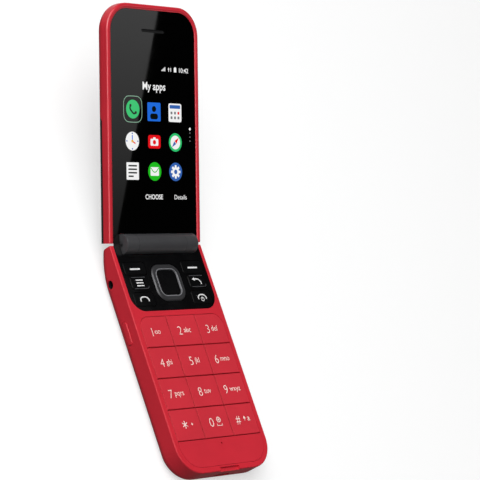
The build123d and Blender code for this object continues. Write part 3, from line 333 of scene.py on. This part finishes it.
# the black keys get painted shade on their steep sides, near black, which darkens their edges and
# the gaps between them
BLACK_KEYS = moulded("black_acrylic_keys", "#0C0C0D", 0.2, depth=0, smudge=0.07, painted_wall_shade="#030303",
                     Specular_IOR_Level=0.2)
# hardened glass over a black print: nearly black, with clean reflections
BLACK_GLASS = moulded("hardened_glass_over_black", "#020202", 0.03, depth=0, smudge=0.01, IOR=1.5)
# the barrel's satin graphite paint: an even dark grey that lights up softly along its top
GRAPHITE = moulded("graphite_painted_barrel", "#414143", 0.34, grain=0.2, depth=0.004)
# gunmetal paint, part metal: a dull grey glow on the ring
RING_PAINT = moulded("gunmetal_painted_ring", "#3E3E40", 0.36, grain=0.2, depth=0.003,
                     Metallic=0.35)
# painted steel mesh: matt black with a coarse tooth
BLACK_MESH = moulded("black_painted_steel_mesh", "#131314", 0.55, grain=0.25, depth=0.03)
# painted highlights: thin pale grey lines for the light that the inner edge of the ring and the
# edges of the raised keys catch
RING_HIGHLIGHT_PAINT = moulded("painted_highlight_ring_edge", "#88888C", 0.35, depth=0, Metallic=0.2)
KEY_HIGHLIGHT_PAINT = moulded("painted_highlight_key_edge", "#58585C", 0.35, depth=0, Metallic=0.2)
# unpainted black nylon: matt, a little lighter than the acrylic
BLACK_NYLON = moulded("black_nylon", "#17171A", 0.6)
# red silicone rubber: dull and darker than the keys that stand on it
DARK_SILICONE = moulded("dark_red_silicone", "#8E1620", 0.7, grain=0.5)
# bare spring steel and tinned sheet steel: bright, the tin a shade whiter and softer
SPRING_STEEL = moulded("spring_steel", "#A9A9AB", 0.3, grain=0.15, depth=0.002, Metallic=1.0)
TINNED_STEEL = moulded("tinned_steel", "#BDBDBA", 0.32, grain=0.3, depth=0.002, Metallic=1.0)
# solder resist on a circuit board: deep green lacquer, half matt
BOARD_RESIST = moulded("green_solder_resist", "#0F4A2A", 0.45, grain=0.8)
# printed foil round the battery: charcoal, half matt
BATTERY_WRAP = moulded("battery_foil_wrap", "#2A2A2D", 0.5)
# polyimide film: amber brown with half a gloss
POLYIMIDE = moulded("polyimide_flex", "#8A4A12", 0.35)
# coated optical glass over a dark well, and the milky, pebbled window of the flash
CAMERA_GLASS = moulded("camera_glass", "#050508", 0.05, depth=0, smudge=0.02, IOR=1.52)
FLASH_DIFFUSER = moulded("flash_diffuser", "#E9E3CB", 0.3, grain=0.4, depth=0.02)
# pad-printed ink, fired on: matt and slightly warm against the red, neutral on the black
LEGEND_INK = moulded("warm_white_pad_print", "#FFE7DE", 0.5, grain=0.12, depth=0.003, mottle=0.03)
ICON_INK = moulded("light_grey_pad_print", "#E8E8E8", 0.45, grain=0.12, depth=0.003, mottle=0.03)
# colour filters over the display's lamp: even, glowing tones
WHITE_LIGHT = lit("screen_white", "#FFFFFF")
GREY_LIGHT = lit("screen_grey", "#8E8E92", 0.7)
PALE_LIGHT = lit("screen_pale_green", "#9CCBAE", 0.8)
GREEN_LIGHT = lit("screen_green", "#2CCB72")
LIME_LIGHT = lit("screen_lime", "#1FC41F")
BLUE_LIGHT = lit("screen_blue", "#1F6FE5")
NAVY_LIGHT = lit("screen_navy", "#3566B8")
RED_LIGHT = lit("screen_red", "#F2101A")
AMBER_LIGHT = lit("screen_amber", "#F4B41A")
DARK_LIGHT = lit("screen_dark", "#07140F", 0.4)

NUMBER_KEYS = ["key_" + mark for mark in "123456789"]
SIGN_KEYS = ["key_star", "key_0", "key_hash"]

FINISHES = {
    RED_SHELL: ["front_housing", "rear_housing", "battery_cover", "flip_bezel", "flip_outer_cover",
                "emergency_key", "volume_key"],
    RED_CHIN: ["chin_plate"],
    RED_KEYS: NUMBER_KEYS + SIGN_KEYS,
    BLACK_FASCIA: ["nav_fascia"],
    BLACK_KEYS: ["soft_key_left", "soft_key_right", "menu_key", "back_key", "call_key", "end_key",
                 "select_key"],
    BLACK_GLASS: ["main_lens", "outer_lens", "main_display", "outer_display"],
    GRAPHITE: ["base_frame", "flip_frame"],
    RING_PAINT: ["nav_ring"],
    BLACK_NYLON: ["nav_pivot", "battery_contacts", "headset_socket", "camera_module", "loudspeaker",
                  "microphone", "earpiece"],
    DARK_SILICONE: ["keypad_mat"],
    SPRING_STEEL: ["housing_screws", "hinge_pivot", "hinge_cam_shaft", "hinge_cartridge",
                   "hinge_spring", "key_domes", "vibration_motor", "flip_magnet"],
    TINNED_STEEL: ["usb_socket", "sim_reader"],
    BLACK_MESH: ["earpiece_mesh"],
    BOARD_RESIST: ["main_board", "flip_board"],
    BATTERY_WRAP: ["battery"],
    POLYIMIDE: ["hinge_flex"],
    CAMERA_GLASS: ["camera_window"],
    FLASH_DIFFUSER: ["flash_lens"],
}


def finish_nodes():
    """Gives every CAD node its material."""
    for material, names in FINISHES.items():
        for name in names:
            paint(frame["nodes"][name], material)


# ---- flat shapes, drawn face up round the origin ------------------------------------------------
def thicken(item, rise, foot=INK_FOOT):
    """Gives a flat shape a foot in its surface and a top that stands rise above it."""
    low = min(v.co.z for v in item.data.vertices)
    high = max(v.co.z for v in item.data.vertices)
    span = max(high - low, 1e-9)
    for vertex in item.data.vertices:
        share = (vertex.co.z - low) / span
        vertex.co.z = (-foot + share * (rise + foot)) * MM
    return item


def lettering(words, height, x, y, align="CENTER", weight=0.0, narrow=1.0, rise=INK):
    """Words with their capitals this high; y is the base line and x the words' start or middle."""
    bpy.ops.object.text_add()
    item = bpy.context.object
    item.data.body = words
    item.data.size = height / CAPITAL * MM
    item.data.align_x = "LEFT"
    item.data.offset = weight * height * MM
    item.data.extrude = INK * MM
    item.data.resolution_u = LETTER_STEPS
    item = to_mesh(item)
    xs = [v.co.x for v in item.data.vertices]
    start = min(xs) if align == "LEFT" else (min(xs) + max(xs)) / 2
    item.data.transform(shifted(x, y) @ Matrix.Diagonal((narrow, 1, 1, 1))
                        @ Matrix.Translation((-start, 0, 0)))
    return thicken(item, rise)


def stroke(points, width, closed=False, rise=INK, foot=INK_FOOT, straight=False, rounds=2):
    """A line of even width through the points, smooth or with straight runs."""
    curve = bpy.data.curves.new("stroke", "CURVE")
    curve.dimensions = "3D"
    curve.bevel_depth = width / 2 * MM
    curve.bevel_resolution = rounds
    curve.use_fill_caps = True
    curve.resolution_u = 1 if straight else LINE_STEPS
    spline = curve.splines.new("BEZIER")
    spline.bezier_points.add(len(points) - 1)
    spline.use_cyclic_u = closed
    for point, (x, y) in zip(spline.bezier_points, points):
        point.co = (x * MM, y * MM, 0)
        point.handle_left_type = point.handle_right_type = "VECTOR" if straight else "AUTO"
    item = bpy.data.objects.new("stroke", curve)
    bpy.context.scene.collection.objects.link(item)
    return thicken(to_mesh(item), rise, foot)


def plate(width, height, x, y, corner=0.0, rise=INK, turn=0.0):
    """A flat rectangle with rounded corners."""
    bpy.ops.mesh.primitive_plane_add(size=1)
    item = bpy.context.object
    item.data.transform(Matrix.Diagonal((width * MM, height * MM, 1, 1)))
    bpy.ops.object.mode_set(mode="EDIT")
    bpy.ops.mesh.select_all(action="SELECT")
    if corner:
        bpy.ops.mesh.bevel(affect="VERTICES", offset=corner * MM, segments=CORNER_STEPS)
        bpy.ops.mesh.select_all(action="SELECT")
    bpy.ops.mesh.extrude_region_move(TRANSFORM_OT_translate={"value": (0, 0, INK * MM)})
    bpy.ops.mesh.select_all(action="SELECT")
    bpy.ops.mesh.normals_make_consistent(inside=False)
    bpy.ops.object.mode_set(mode="OBJECT")
    item.data.transform(shifted(x, y) @ Matrix.Rotation(turn, 4, "Z"))
    return thicken(item, rise)


def dot(radius, x, y, rise=INK, sides=40):
    """A flat disc; with three sides, a triangle that points up."""
    bpy.ops.mesh.primitive_cylinder_add(radius=radius * MM, depth=INK * MM, vertices=sides)
    item = bpy.context.object
    item.data.transform(shifted(x, y))
    return thicken(item, rise)


def arc(radius, start, end, x, y, count):
    """Points along an arc, its angles in degrees."""
    turns = [radians(start + (end - start) * i / (count - 1)) for i in range(count)]
    return [(x + radius * cos(t), y + radius * sin(t)) for t in turns]


def circle(radius, x, y):
    return arc(radius, 0, 360, x, y, 13)[:-1]


def rounded_rectangle(width, height, corner, x, y):
    """Points round a rectangle with rounded corners."""
    points = []
    for sign_x, sign_y, start in ((1, 1, 0), (-1, 1, 90), (-1, -1, 180), (1, -1, 270)):
        centre = (x + sign_x * (width / 2 - corner), y + sign_y * (height / 2 - corner))
        points += arc(corner, start, start + 90, *centre, 7)
    return points


# ---- key legends --------------------------------------------------------------------------------
LETTERS = ("oo", "abc", "def", "ghi", "jkl", "mno", "pqrs", "tuv", "wxyz")


def key_centre(name):
    """The middle of a key's top in hinge coordinates."""
    low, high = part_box(name)
    middle = ((low + high) / 2 - HINGE) / MM
    return middle.x, middle.y, (high.z - HINGE.z) / MM


def star_sign():
    """A star of three crossing lines, with a plus beside it."""
    signs = []
    for turn in (radians(90), radians(30), radians(-30)):
        across, up = [DIGIT_HEIGHT * STAR_REACH * part for part in (cos(turn), sin(turn))]
        signs.append(stroke([(STAR_AT - across, -up), (STAR_AT + across, up)], STAR_LINE))
    level = [(PLUS_AT - PLUS_REACH, 0), (PLUS_AT + PLUS_REACH, 0)]
    upright = [(PLUS_AT, -PLUS_REACH), (PLUS_AT, PLUS_REACH)]
    return signs + [stroke(level, SIGN_LINE), stroke(upright, SIGN_LINE)]


def zero_sign():
    """A zero, with the space sign and a ringed dot beside it."""
    digit = lettering("0", DIGIT_HEIGHT, -2.1, -DIGIT_HEIGHT / 2, weight=-0.016, narrow=1.05)
    space = stroke([(0.9, -1.1), (0.9, -1.8), (3.8, -1.8), (3.8, -1.1)], SIGN_LINE, straight=True)
    ring = stroke(circle(RINGED_DOT_RADIUS, *RINGED_DOT_AT), 0.36, closed=True)
    return [digit, space, ring, dot(0.45, *RINGED_DOT_AT)]


def hash_sign():
    """A hash, with an upward arrow and a small letter beside it."""
    sign = lettering("#", DIGIT_HEIGHT * 0.96, -2.7, -DIGIT_HEIGHT * 0.46, weight=-0.006,
                     narrow=0.85)
    arrow = stroke([(ARROW_AT, -0.8), (ARROW_AT, 0.6)], SIGN_LINE)
    head = dot(0.85, ARROW_AT, 0.5, sides=3)
    letter = lettering("a", LETTER_HEIGHT * 1.1, 3.0, -0.95, align="LEFT")
    return [sign, arrow, head, letter]


def place_legend(whole, name, ink):
    """Paints a legend and lays it on the top of its key."""
    settle(paint(whole, ink), BASE_PLACE @ shifted(*key_centre(name)), name)


def number_legend(name, digit, letters):
    """A digit with its letters, centred on its key."""
    foot = -DIGIT_HEIGHT / 2
    left = lettering(digit, DIGIT_HEIGHT, 0, foot, **DIGIT_STYLE)
    edge = max(v.co.x for v in left.data.vertices) / MM
    right = lettering(letters, LETTER_HEIGHT, edge + LEGEND_GAP, foot + LETTER_RAISE,
                      **LETTER_STYLE)
    whole = joined("legend_" + name, [left, right])
    xs = [v.co.x for v in whole.data.vertices]
    whole.data.transform(Matrix.Translation((LEGEND_SHIFT * MM - (min(xs) + max(xs)) / 2, 0, 0)))
    place_legend(whole, name, LEGEND_INK)


def key_legends():
    for name, digit, letters in zip(NUMBER_KEYS, "123456789", LETTERS):
        number_legend(name, digit, letters)
    for name, draw in zip(SIGN_KEYS, (star_sign, zero_sign, hash_sign)):
        place_legend(joined("legend_" + name, draw()), name, LEGEND_INK)


# ---- navigation legends and painted highlight lines ---------------------------------------------
def dash():
    return [plate(5.8, 0.72, 0, -0.3, corner=0.3)]


def menu_sign():
    return [plate(4.1, 0.5, 0, level, corner=0.2) for level in MENU_LINES]


def back_sign():
    x, y = BACK_ARROW[0]
    line = stroke(BACK_ARROW, 0.55)
    head = dot(1.0, x, y, sides=3)
    head.data.transform(shifted(x, y) @ Matrix.Rotation(pi / 2, 4, "Z") @ shifted(-x, -y))
    return [line, head]


def call_sign():
    return [stroke(HANDSET, HANDSET_LINE)]


def end_sign():
    """A handset put down, over the ring and bar of the power sign."""
    return [stroke(HANDSET, HANDSET_LINE), stroke(circle(0.85, 0, -0.95), 0.32, closed=True),
            stroke([(0, -0.3), (0, -0.95)], 0.36)]


NAV_SIGNS = {"soft_key_left": dash, "soft_key_right": dash, "menu_key": menu_sign,
             "back_key": back_sign, "call_key": call_sign, "end_key": end_sign}


def nav_legends():
    for name, draw in NAV_SIGNS.items():
        place_legend(joined("legend_" + name, draw()), name, ICON_INK)


def ring_edge():
    """A painted highlight: a pale line round the inside of the four-way ring."""
    width, height, corner = RING_INNER
    run = rounded_rectangle(width + 2 * RING_LINE_OUT, height + 2 * RING_LINE_OUT,
                            corner + RING_LINE_OUT, 0, RING_CENTRE)
    line = stroke(run, RING_LINE, closed=True, rise=0.06, foot=0.2, straight=True)
    top = (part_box("nav_ring")[1].z - HINGE.z) / MM
    settle(paint(joined("ring_inner_painted_highlight", [line]), RING_HIGHLIGHT_PAINT), BASE_PLACE @ shifted(0, 0, top),
           "nav_ring")


def key_edges(name):
    """Painted highlights: pale lines along the upper and lower edges of a raised navigation key."""
    low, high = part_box(name)
    half_x, half_y = (high.x - low.x) / 2 / MM, (high.y - low.y) / 2 / MM
    upper = [(-half_x + 1.0, half_y - EDGE_INSET), (half_x - 1.1, half_y - EDGE_INSET)]
    lower = [(-half_x + 1.0, EDGE_INSET - half_y), (half_x - 1.2, EDGE_INSET - half_y),
             (half_x - 0.5, 0.75 - half_y), (half_x - EDGE_INSET, 1.4 - half_y)]
    lines = [stroke(run, EDGE_LINE, rise=0.02, foot=0.12, straight=True) for run in (upper, lower)]
    place_legend(joined(name + "_painted_highlights", lines), name, KEY_HIGHLIGHT_PAINT)


# ---- trim ---------------------------------------------------------------------------------------
def flip_rim():
    """The crowned red rim round the main glass, from one hinge corner to the other."""
    side = RIM_LINE - RIM_CORNER
    shoulder = RIM_END - RIM_CORNER
    run = [(RIM_LINE, RIM_START), *arc(RIM_CORNER, 0, 90, side, shoulder, 13),
           *arc(RIM_CORNER, 90, 180, -side, shoulder, 13), (-RIM_LINE, RIM_START)]
    rim = smooth(stroke(run, RIM_WIDTH, rise=RIM_CROWN, foot=RIM_ROOT, straight=True, rounds=5))
    settle(paint(joined("flip_rim", [rim]), RED_RIM), FLIP_PLACE @ shifted(0, 0, FACE), "flip")


def barrel_cap(name, side):
    """The flat-ended cap on an outer knuckle of the hinge barrel."""
    bpy.ops.mesh.primitive_cylinder_add(radius=BARREL_RADIUS * MM, depth=BARREL_CAP * MM,
                                        vertices=72)
    cap = bpy.context.object
    bpy.ops.object.mode_set(mode="EDIT")
    bpy.ops.mesh.select_all(action="DESELECT")
    bpy.ops.object.mode_set(mode="OBJECT")
    for face in cap.data.polygons:
        face.select = face.normal.z > 0.9
    width, depth = CAP_GROOVE
    bpy.ops.object.mode_set(mode="EDIT")
    bpy.ops.mesh.bevel(offset=CAP_ROUND * MM, segments=3)
    bpy.ops.mesh.inset(thickness=CAP_GROOVE_IN * MM, depth=0)
    bpy.ops.mesh.inset(thickness=width * MM, depth=-depth * MM)
    bpy.ops.mesh.inset(thickness=width * MM, depth=depth * MM)
    bpy.ops.object.mode_set(mode="OBJECT")
    smooth(cap)
    middle = side * (BARREL_END - BARREL_CAP / 2)
    place = BASE_PLACE @ shifted(middle, 0) @ Matrix.Rotation(side * pi / 2, 4, "Y")
    settle(paint(joined(name, [cap]), GRAPHITE), place, "base")


# ---- main screen --------------------------------------------------------------------------------
def on_screen(name, parts):
    """Joins painted parts of the lit picture and lays them on the main lens."""
    settle(joined(name, parts), FLIP_PLACE @ shifted(0, 0, LENS_LEVEL), "flip")


def lit_dot(material, radius, x, y, layer=1, sides=40):
    return paint(dot(radius, x, y, rise=layer * LAYER, sides=sides), material)


def lit_plate(material, width, height, x, y, corner=0.0, layer=1, turn=0.0):
    return paint(plate(width, height, x, y, corner, layer * LAYER, turn), material)


def lit_line(material, points, width, layer=1, closed=False):
    return paint(stroke(points, width, closed, layer * LAYER), material)


def lit_words(material, words, height, x, y, align="CENTER", weight=0.0, narrow=1.0):
    return paint(lettering(words, height, x, y, align, weight, narrow, LAYER), material)


def phone_icon(x, y):
    handset = [(x + right, y + up)
               for right, up in ((-1.5, 1.5), (-1.6, 0.3), (-0.6, -1.0), (0.6, -1.8), (1.7, -1.5))]
    ends = [lit_dot(DARK_LIGHT, 0.62, x + right, y + up, layer=2)
            for right, up in ((-1.35, 1.5), (1.7, -1.35))]
    return [lit_dot(GREEN_LIGHT, ICON, x, y), lit_line(DARK_LIGHT, handset, 0.85, layer=2), *ends]


def contacts_icon(x, y):
    return [lit_plate(BLUE_LIGHT, 2 * ICON, 2 * ICON, x, y, corner=0.5),
            lit_dot(DARK_LIGHT, 1.25, x, y + 1.2, layer=2),
            lit_plate(DARK_LIGHT, 4.6, 2.4, x, y - 1.9, corner=1.1, layer=2)]


def calendar_icon(x, y):
    icon = [lit_plate(WHITE_LIGHT, 2 * ICON, 2 * ICON, x, y, corner=0.9),
            lit_plate(NAVY_LIGHT, 2 * ICON - 1.4, 1.5, x, y + 2.5, corner=0.3, layer=2)]
    for column in (-1, 0, 1):
        for row in (0, 1):
            light = RED_LIGHT if (column, row) == (1, 0) else GREY_LIGHT
            icon.append(lit_plate(light, 1.1, 1.1, x + column * 2.1, y - 0.1 - row * 2.0,
                                  corner=0.2, layer=2))
    return icon


def clock_icon(x, y):
    marks = [lit_dot(NAVY_LIGHT, 0.34, x + 3.2 * cos(t), y + 3.2 * sin(t), layer=2)
             for t in (0, pi / 2, pi, 3 * pi / 2)]
    hands = [lit_line(BLUE_LIGHT, [(x, y), (x, y + 2.5)], 0.6, layer=2),
             lit_line(RED_LIGHT, [(x, y), (x + 1.8, y - 1.0)], 0.6, layer=2),
             lit_dot(AMBER_LIGHT, 0.6, x, y, layer=3)]
    return [lit_dot(WHITE_LIGHT, ICON, x, y), *marks, *hands]


def camera_icon(x, y):
    return [lit_plate(RED_LIGHT, 7.4, 5.6, x, y, corner=1.1),
            lit_plate(WHITE_LIGHT, 4.6, 2.9, x, y - 0.2, corner=0.5, layer=2),
            lit_plate(WHITE_LIGHT, 1.5, 0.7, x, y + 1.5, corner=0.2, layer=2),
            lit_dot(RED_LIGHT, 0.95, x, y - 0.2, layer=3)]


def compass_icon(x, y):
    needle = []
    for light, out, turn in ((RED_LIGHT, 0.75, -pi / 4), (NAVY_LIGHT, -0.75, 3 * pi / 4)):
        half = lit_dot(light, 1.5, x + out, y + out, layer=3, sides=3)
        half.data.transform(shifted(x + out, y + out) @ Matrix.Rotation(turn, 4, "Z")
                            @ Matrix.Diagonal((0.62, 1.25, 1, 1)) @ shifted(-x - out, -y - out))
        needle.append(half)
    return [lit_dot(GREEN_LIGHT, ICON, x, y), lit_dot(WHITE_LIGHT, 2.9, x, y, layer=2), *needle]


def notes_icon(x, y):
    lines = [lit_plate(DARK_LIGHT, length, 0.62, x - (5.0 - length) / 2, y + level, corner=0.2,
                       layer=2)
             for length, level in ((5.0, 2.2), (5.0, 0.75), (5.0, -0.7), (3.0, -2.15))]
    return [lit_plate(WHITE_LIGHT, 7.2, 2 * ICON - 0.6, x, y, corner=0.35), *lines]


def message_icon(x, y):
    fold = [(x - 2.4, y + 1.5), (x, y - 0.3), (x + 2.4, y + 1.5)]
    flap = lit_line(LIME_LIGHT, fold, 0.5, layer=3)
    return [lit_dot(LIME_LIGHT, ICON, x, y),
            lit_plate(WHITE_LIGHT, 5.0, 3.6, x, y, corner=0.4, layer=2), flap]


def settings_icon(x, y):
    turns = [pi / 4 * i for i in range(8)]
    teeth = [lit_plate(WHITE_LIGHT, 1.1, 1.3, x + 2.2 * cos(t), y + 2.2 * sin(t), corner=0.2,
                       layer=2, turn=t + pi / 2) for t in turns]
    return [lit_dot(NAVY_LIGHT, ICON, x, y), *teeth, lit_dot(WHITE_LIGHT, 2.0, x, y, layer=2),
            lit_dot(NAVY_LIGHT, 0.95, x, y, layer=3)]


ICONS = {
    "phone_icon": phone_icon, "contacts_icon": contacts_icon, "calendar_icon": calendar_icon,
    "clock_icon": clock_icon, "camera_icon": camera_icon, "compass_icon": compass_icon,
    "notes_icon": notes_icon, "message_icon": message_icon, "settings_icon": settings_icon,
}


def screen_icons():
    """Nine icons in rows of three, the first one chosen and outlined."""
    for index, (name, draw) in enumerate(ICONS.items()):
        row, column = divmod(index, 3)
        right, up = CHOSEN if index == 0 else (0.0, 0.0)
        on_screen(name, draw(ICON_COLUMNS[column] + right, ICON_ROWS[row] + up))
    outline = rounded_rectangle(*CHOSEN_OUTLINE, ICON_COLUMNS[0] + CHOSEN[0],
                                ICON_ROWS[0] + CHOSEN[1])
    on_screen("selection_outline", [lit_line(PALE_LIGHT, outline, 0.27, closed=True)])


def status_bar():
    """Signal bars, two arrows, a battery and the clock, in white."""
    y = STATUS_LINE
    parts = []
    for i in range(4):
        height = 0.5 + 0.42 * i
        parts.append(lit_plate(WHITE_LIGHT, 0.42, height, 5.0 + 0.62 * i, y - 0.8 + height / 2))
    parts.append(lit_dot(WHITE_LIGHT, 0.6, 9.1, y + 0.35, sides=3))
    for width, height, x, up, corner in ((0.36, 1.1, 9.1, -0.3, 0.0), (0.36, 1.6, 10.4, 0, 0.0),
                                         (1.5, 1.9, 13.0, -0.05, 0.15), (0.6, 0.4, 13.0, 1.0, 0.0)):
        parts.append(lit_plate(WHITE_LIGHT, width, height, x, y + up, corner))
    parts.append(lit_words(WHITE_LIGHT, "10:42", 2.0, RIGHT_TEXT, y - 1.0, align="LEFT",
                           weight=0.012, narrow=1.02))
    on_screen("status_bar", parts)


def screen_words():
    """The heading, the labels over the soft keys and the page dots."""
    heading = lit_words(WHITE_LIGHT, "My apps", 3.4, 0.2, HEADING_LINE - 1.65, weight=0.018,
                        narrow=0.9)
    on_screen("screen_heading", [heading])
    middle = lit_words(WHITE_LIGHT, "CHOOSE", 2.1, -0.5, LABEL_LINE - 1.0, weight=0.02, narrow=0.9)
    on_screen("middle_label", [middle])
    on_screen("right_label", [lit_words(WHITE_LIGHT, "Details", 2.0, RIGHT_TEXT, LABEL_LINE - 1.0)])
    dots = [lit_dot(WHITE_LIGHT, 0.6, PAGE_DOTS_AT, PAGE_DOTS[0])]
    dots += [lit_dot(GREY_LIGHT, 0.28, PAGE_DOTS_AT, y) for y in PAGE_DOTS[1:]]
    on_screen("page_dots", dots)


# ---- outer screen -------------------------------------------------------------------------------
def outer_clock():
    """The outer display's clock and date, upright when the phone is shut and held hinge up."""
    digits = lit_words(WHITE_LIGHT, "10:42", 6.3, 0, -3.15, narrow=0.92)
    date = lit_words(GREY_LIGHT, "MON 04 MAY", 1.3, 0, -9.0)
    place = FLIP_PLACE @ shifted(0, OUTER_CLOCK_AT, FLIP_BACK) @ Matrix.Rotation(pi, 4, "X")
    settle(joined("outer_clock", [digits, date]), place, "flip")


# ---- stage --------------------------------------------------------------------------------------
def floor():
    """A pale floor that keeps the phone's shadow and throws little light back up at it."""
    bpy.ops.mesh.primitive_plane_add(size=FLOOR_SIZE, location=(0, 0, FLOOR_LEVEL))
    item = bpy.context.object
    item.name = "floor"
    material, tree = new_material("pale_studio_floor")
    surface = tree.nodes["Principled BSDF"]
    surface.inputs["Roughness"].default_value = 0.95
    surface.inputs["Specular IOR Level"].default_value = 0.0
    surface.inputs["Emission Color"].default_value = grey(1)
    path = add_node(tree, "ShaderNodeLightPath")
    seen = add_node(tree, "ShaderNodeMath", {0: path.outputs["Is Camera Ray"],
                                             1: path.outputs["Is Glossy Ray"]},
                    operation="MAXIMUM").outputs[0]
    tone = add_node(tree, "ShaderNodeMixRGB", {"Fac": seen, "Color1": grey(FLOOR_THROWN),
                                               "Color2": grey(FLOOR_SEEN)})
    tree.links.new(tone.outputs["Color"], surface.inputs["Base Color"])
    glow = add_node(tree, "ShaderNodeMath", {0: seen, 1: FLOOR_GLOW}, operation="MULTIPLY")
    tree.links.new(glow.outputs[0], surface.inputs["Emission Strength"])
    paint(item, material)


def area_light(name, at, aim, size, power):
    """A soft light that the camera doesn't see."""
    bpy.ops.object.light_add(type="AREA", location=at)
    lamp = bpy.context.object
    lamp.name = name
    lamp.data.shape = "RECTANGLE"
    lamp.data.size, lamp.data.size_y = size
    lamp.data.energy = power
    lamp.rotation_euler = (Vector(at) - Vector(aim)).to_track_quat("Z", "Y").to_euler()
    lamp.visible_camera = False


def studio_card(name, points, levels):
    """A card that only reflections show; levels are its brightness at each corner."""
    mesh = bpy.data.meshes.new(name)
    mesh.from_pydata([tuple(p) for p in points], [], [(0, 1, 2, 3)])
    level = mesh.attributes.new("level", "FLOAT", "POINT")
    for entry, value in zip(level.data, levels):
        entry.value = value
    card = bpy.data.objects.new(name, mesh)
    bpy.context.scene.collection.objects.link(card)
    material, tree = new_material(name)
    tree.nodes.clear()
    strength = add_node(tree, "ShaderNodeAttribute", attribute_name="level").outputs["Fac"]
    glow = add_node(tree, "ShaderNodeEmission", {"Color": grey(1), "Strength": strength})
    add_node(tree, "ShaderNodeOutputMaterial", {"Surface": glow.outputs["Emission"]})
    mesh.materials.append(material)
    card.visible_camera = card.visible_diffuse = card.visible_shadow = False


def sheen_card():
    """A pale card that the main lens mirrors: a slanted sheen down its left side."""
    normal = (FLIP_PLACE.to_3x3() @ Vector((0, 0, 1))).normalized()
    on_lens = [FLIP_PLACE @ (Vector((x, y, LENS_LEVEL)) * MM) for x, y in SHEEN_CORNERS]
    mirrored = CAMERA_AT - 2 * (CAMERA_AT - on_lens[0]).dot(normal) * normal
    studio_card("sheen_card", [p + (p - mirrored).normalized() * SHEEN_DISTANCE for p in on_lens],
                SHEEN_LEVELS)


def lights():
    """Two soft lights over the phone's left side, and two dark cards for its gloss to mirror.

    The black flag stands on the right, where the glass would mirror the pale air. The floor flag
    lies under the phone, where its sides would mirror the pale floor.
    """
    area_light("key_softbox", **KEY_SOFTBOX)
    area_light("side_strip", **SIDE_STRIP)
    studio_card("black_flag", BLACK_FLAG, [0] * 4)
    studio_card("floor_flag", FLOOR_FLAG, [FLOOR_FLAG_LEVEL] * 4)
    world = bpy.data.worlds.new("studio_air")
    bpy.context.scene.world = world
    world.use_nodes = True
    world.node_tree.nodes["Background"].inputs["Color"].default_value = grey(1)
    world.node_tree.nodes["Background"].inputs["Strength"].default_value = AIR_STRENGTH


def camera():
    data = bpy.data.cameras.new("camera")
    item = bpy.data.objects.new("camera", data)
    bpy.context.scene.collection.objects.link(item)
    data.sensor_width = 36.0
    data.lens = LENS_LENGTH
    data.shift_x, data.shift_y = CAMERA_SHIFT
    turn = Matrix((CAMERA_RIGHT, CAMERA_UP, CAMERA_BACK)).transposed().to_4x4()
    item.matrix_world = Matrix.Translation(CAMERA_AT) @ turn
    data.clip_start, data.clip_end = 0.01, 20.0
    bpy.context.scene.camera = item


finish_nodes()
key_legends()
nav_legends()
ring_edge()
key_edges("menu_key")
key_edges("back_key")
flip_rim()
barrel_cap("barrel_cap_left", -1)
barrel_cap("barrel_cap_right", 1)
screen_icons()
status_bar()
screen_words()
outer_clock()
floor()
lights()
sheen_card()
camera()
bpy.context.scene.view_settings.view_transform = "Standard"

bpy.context.view_layer.update()
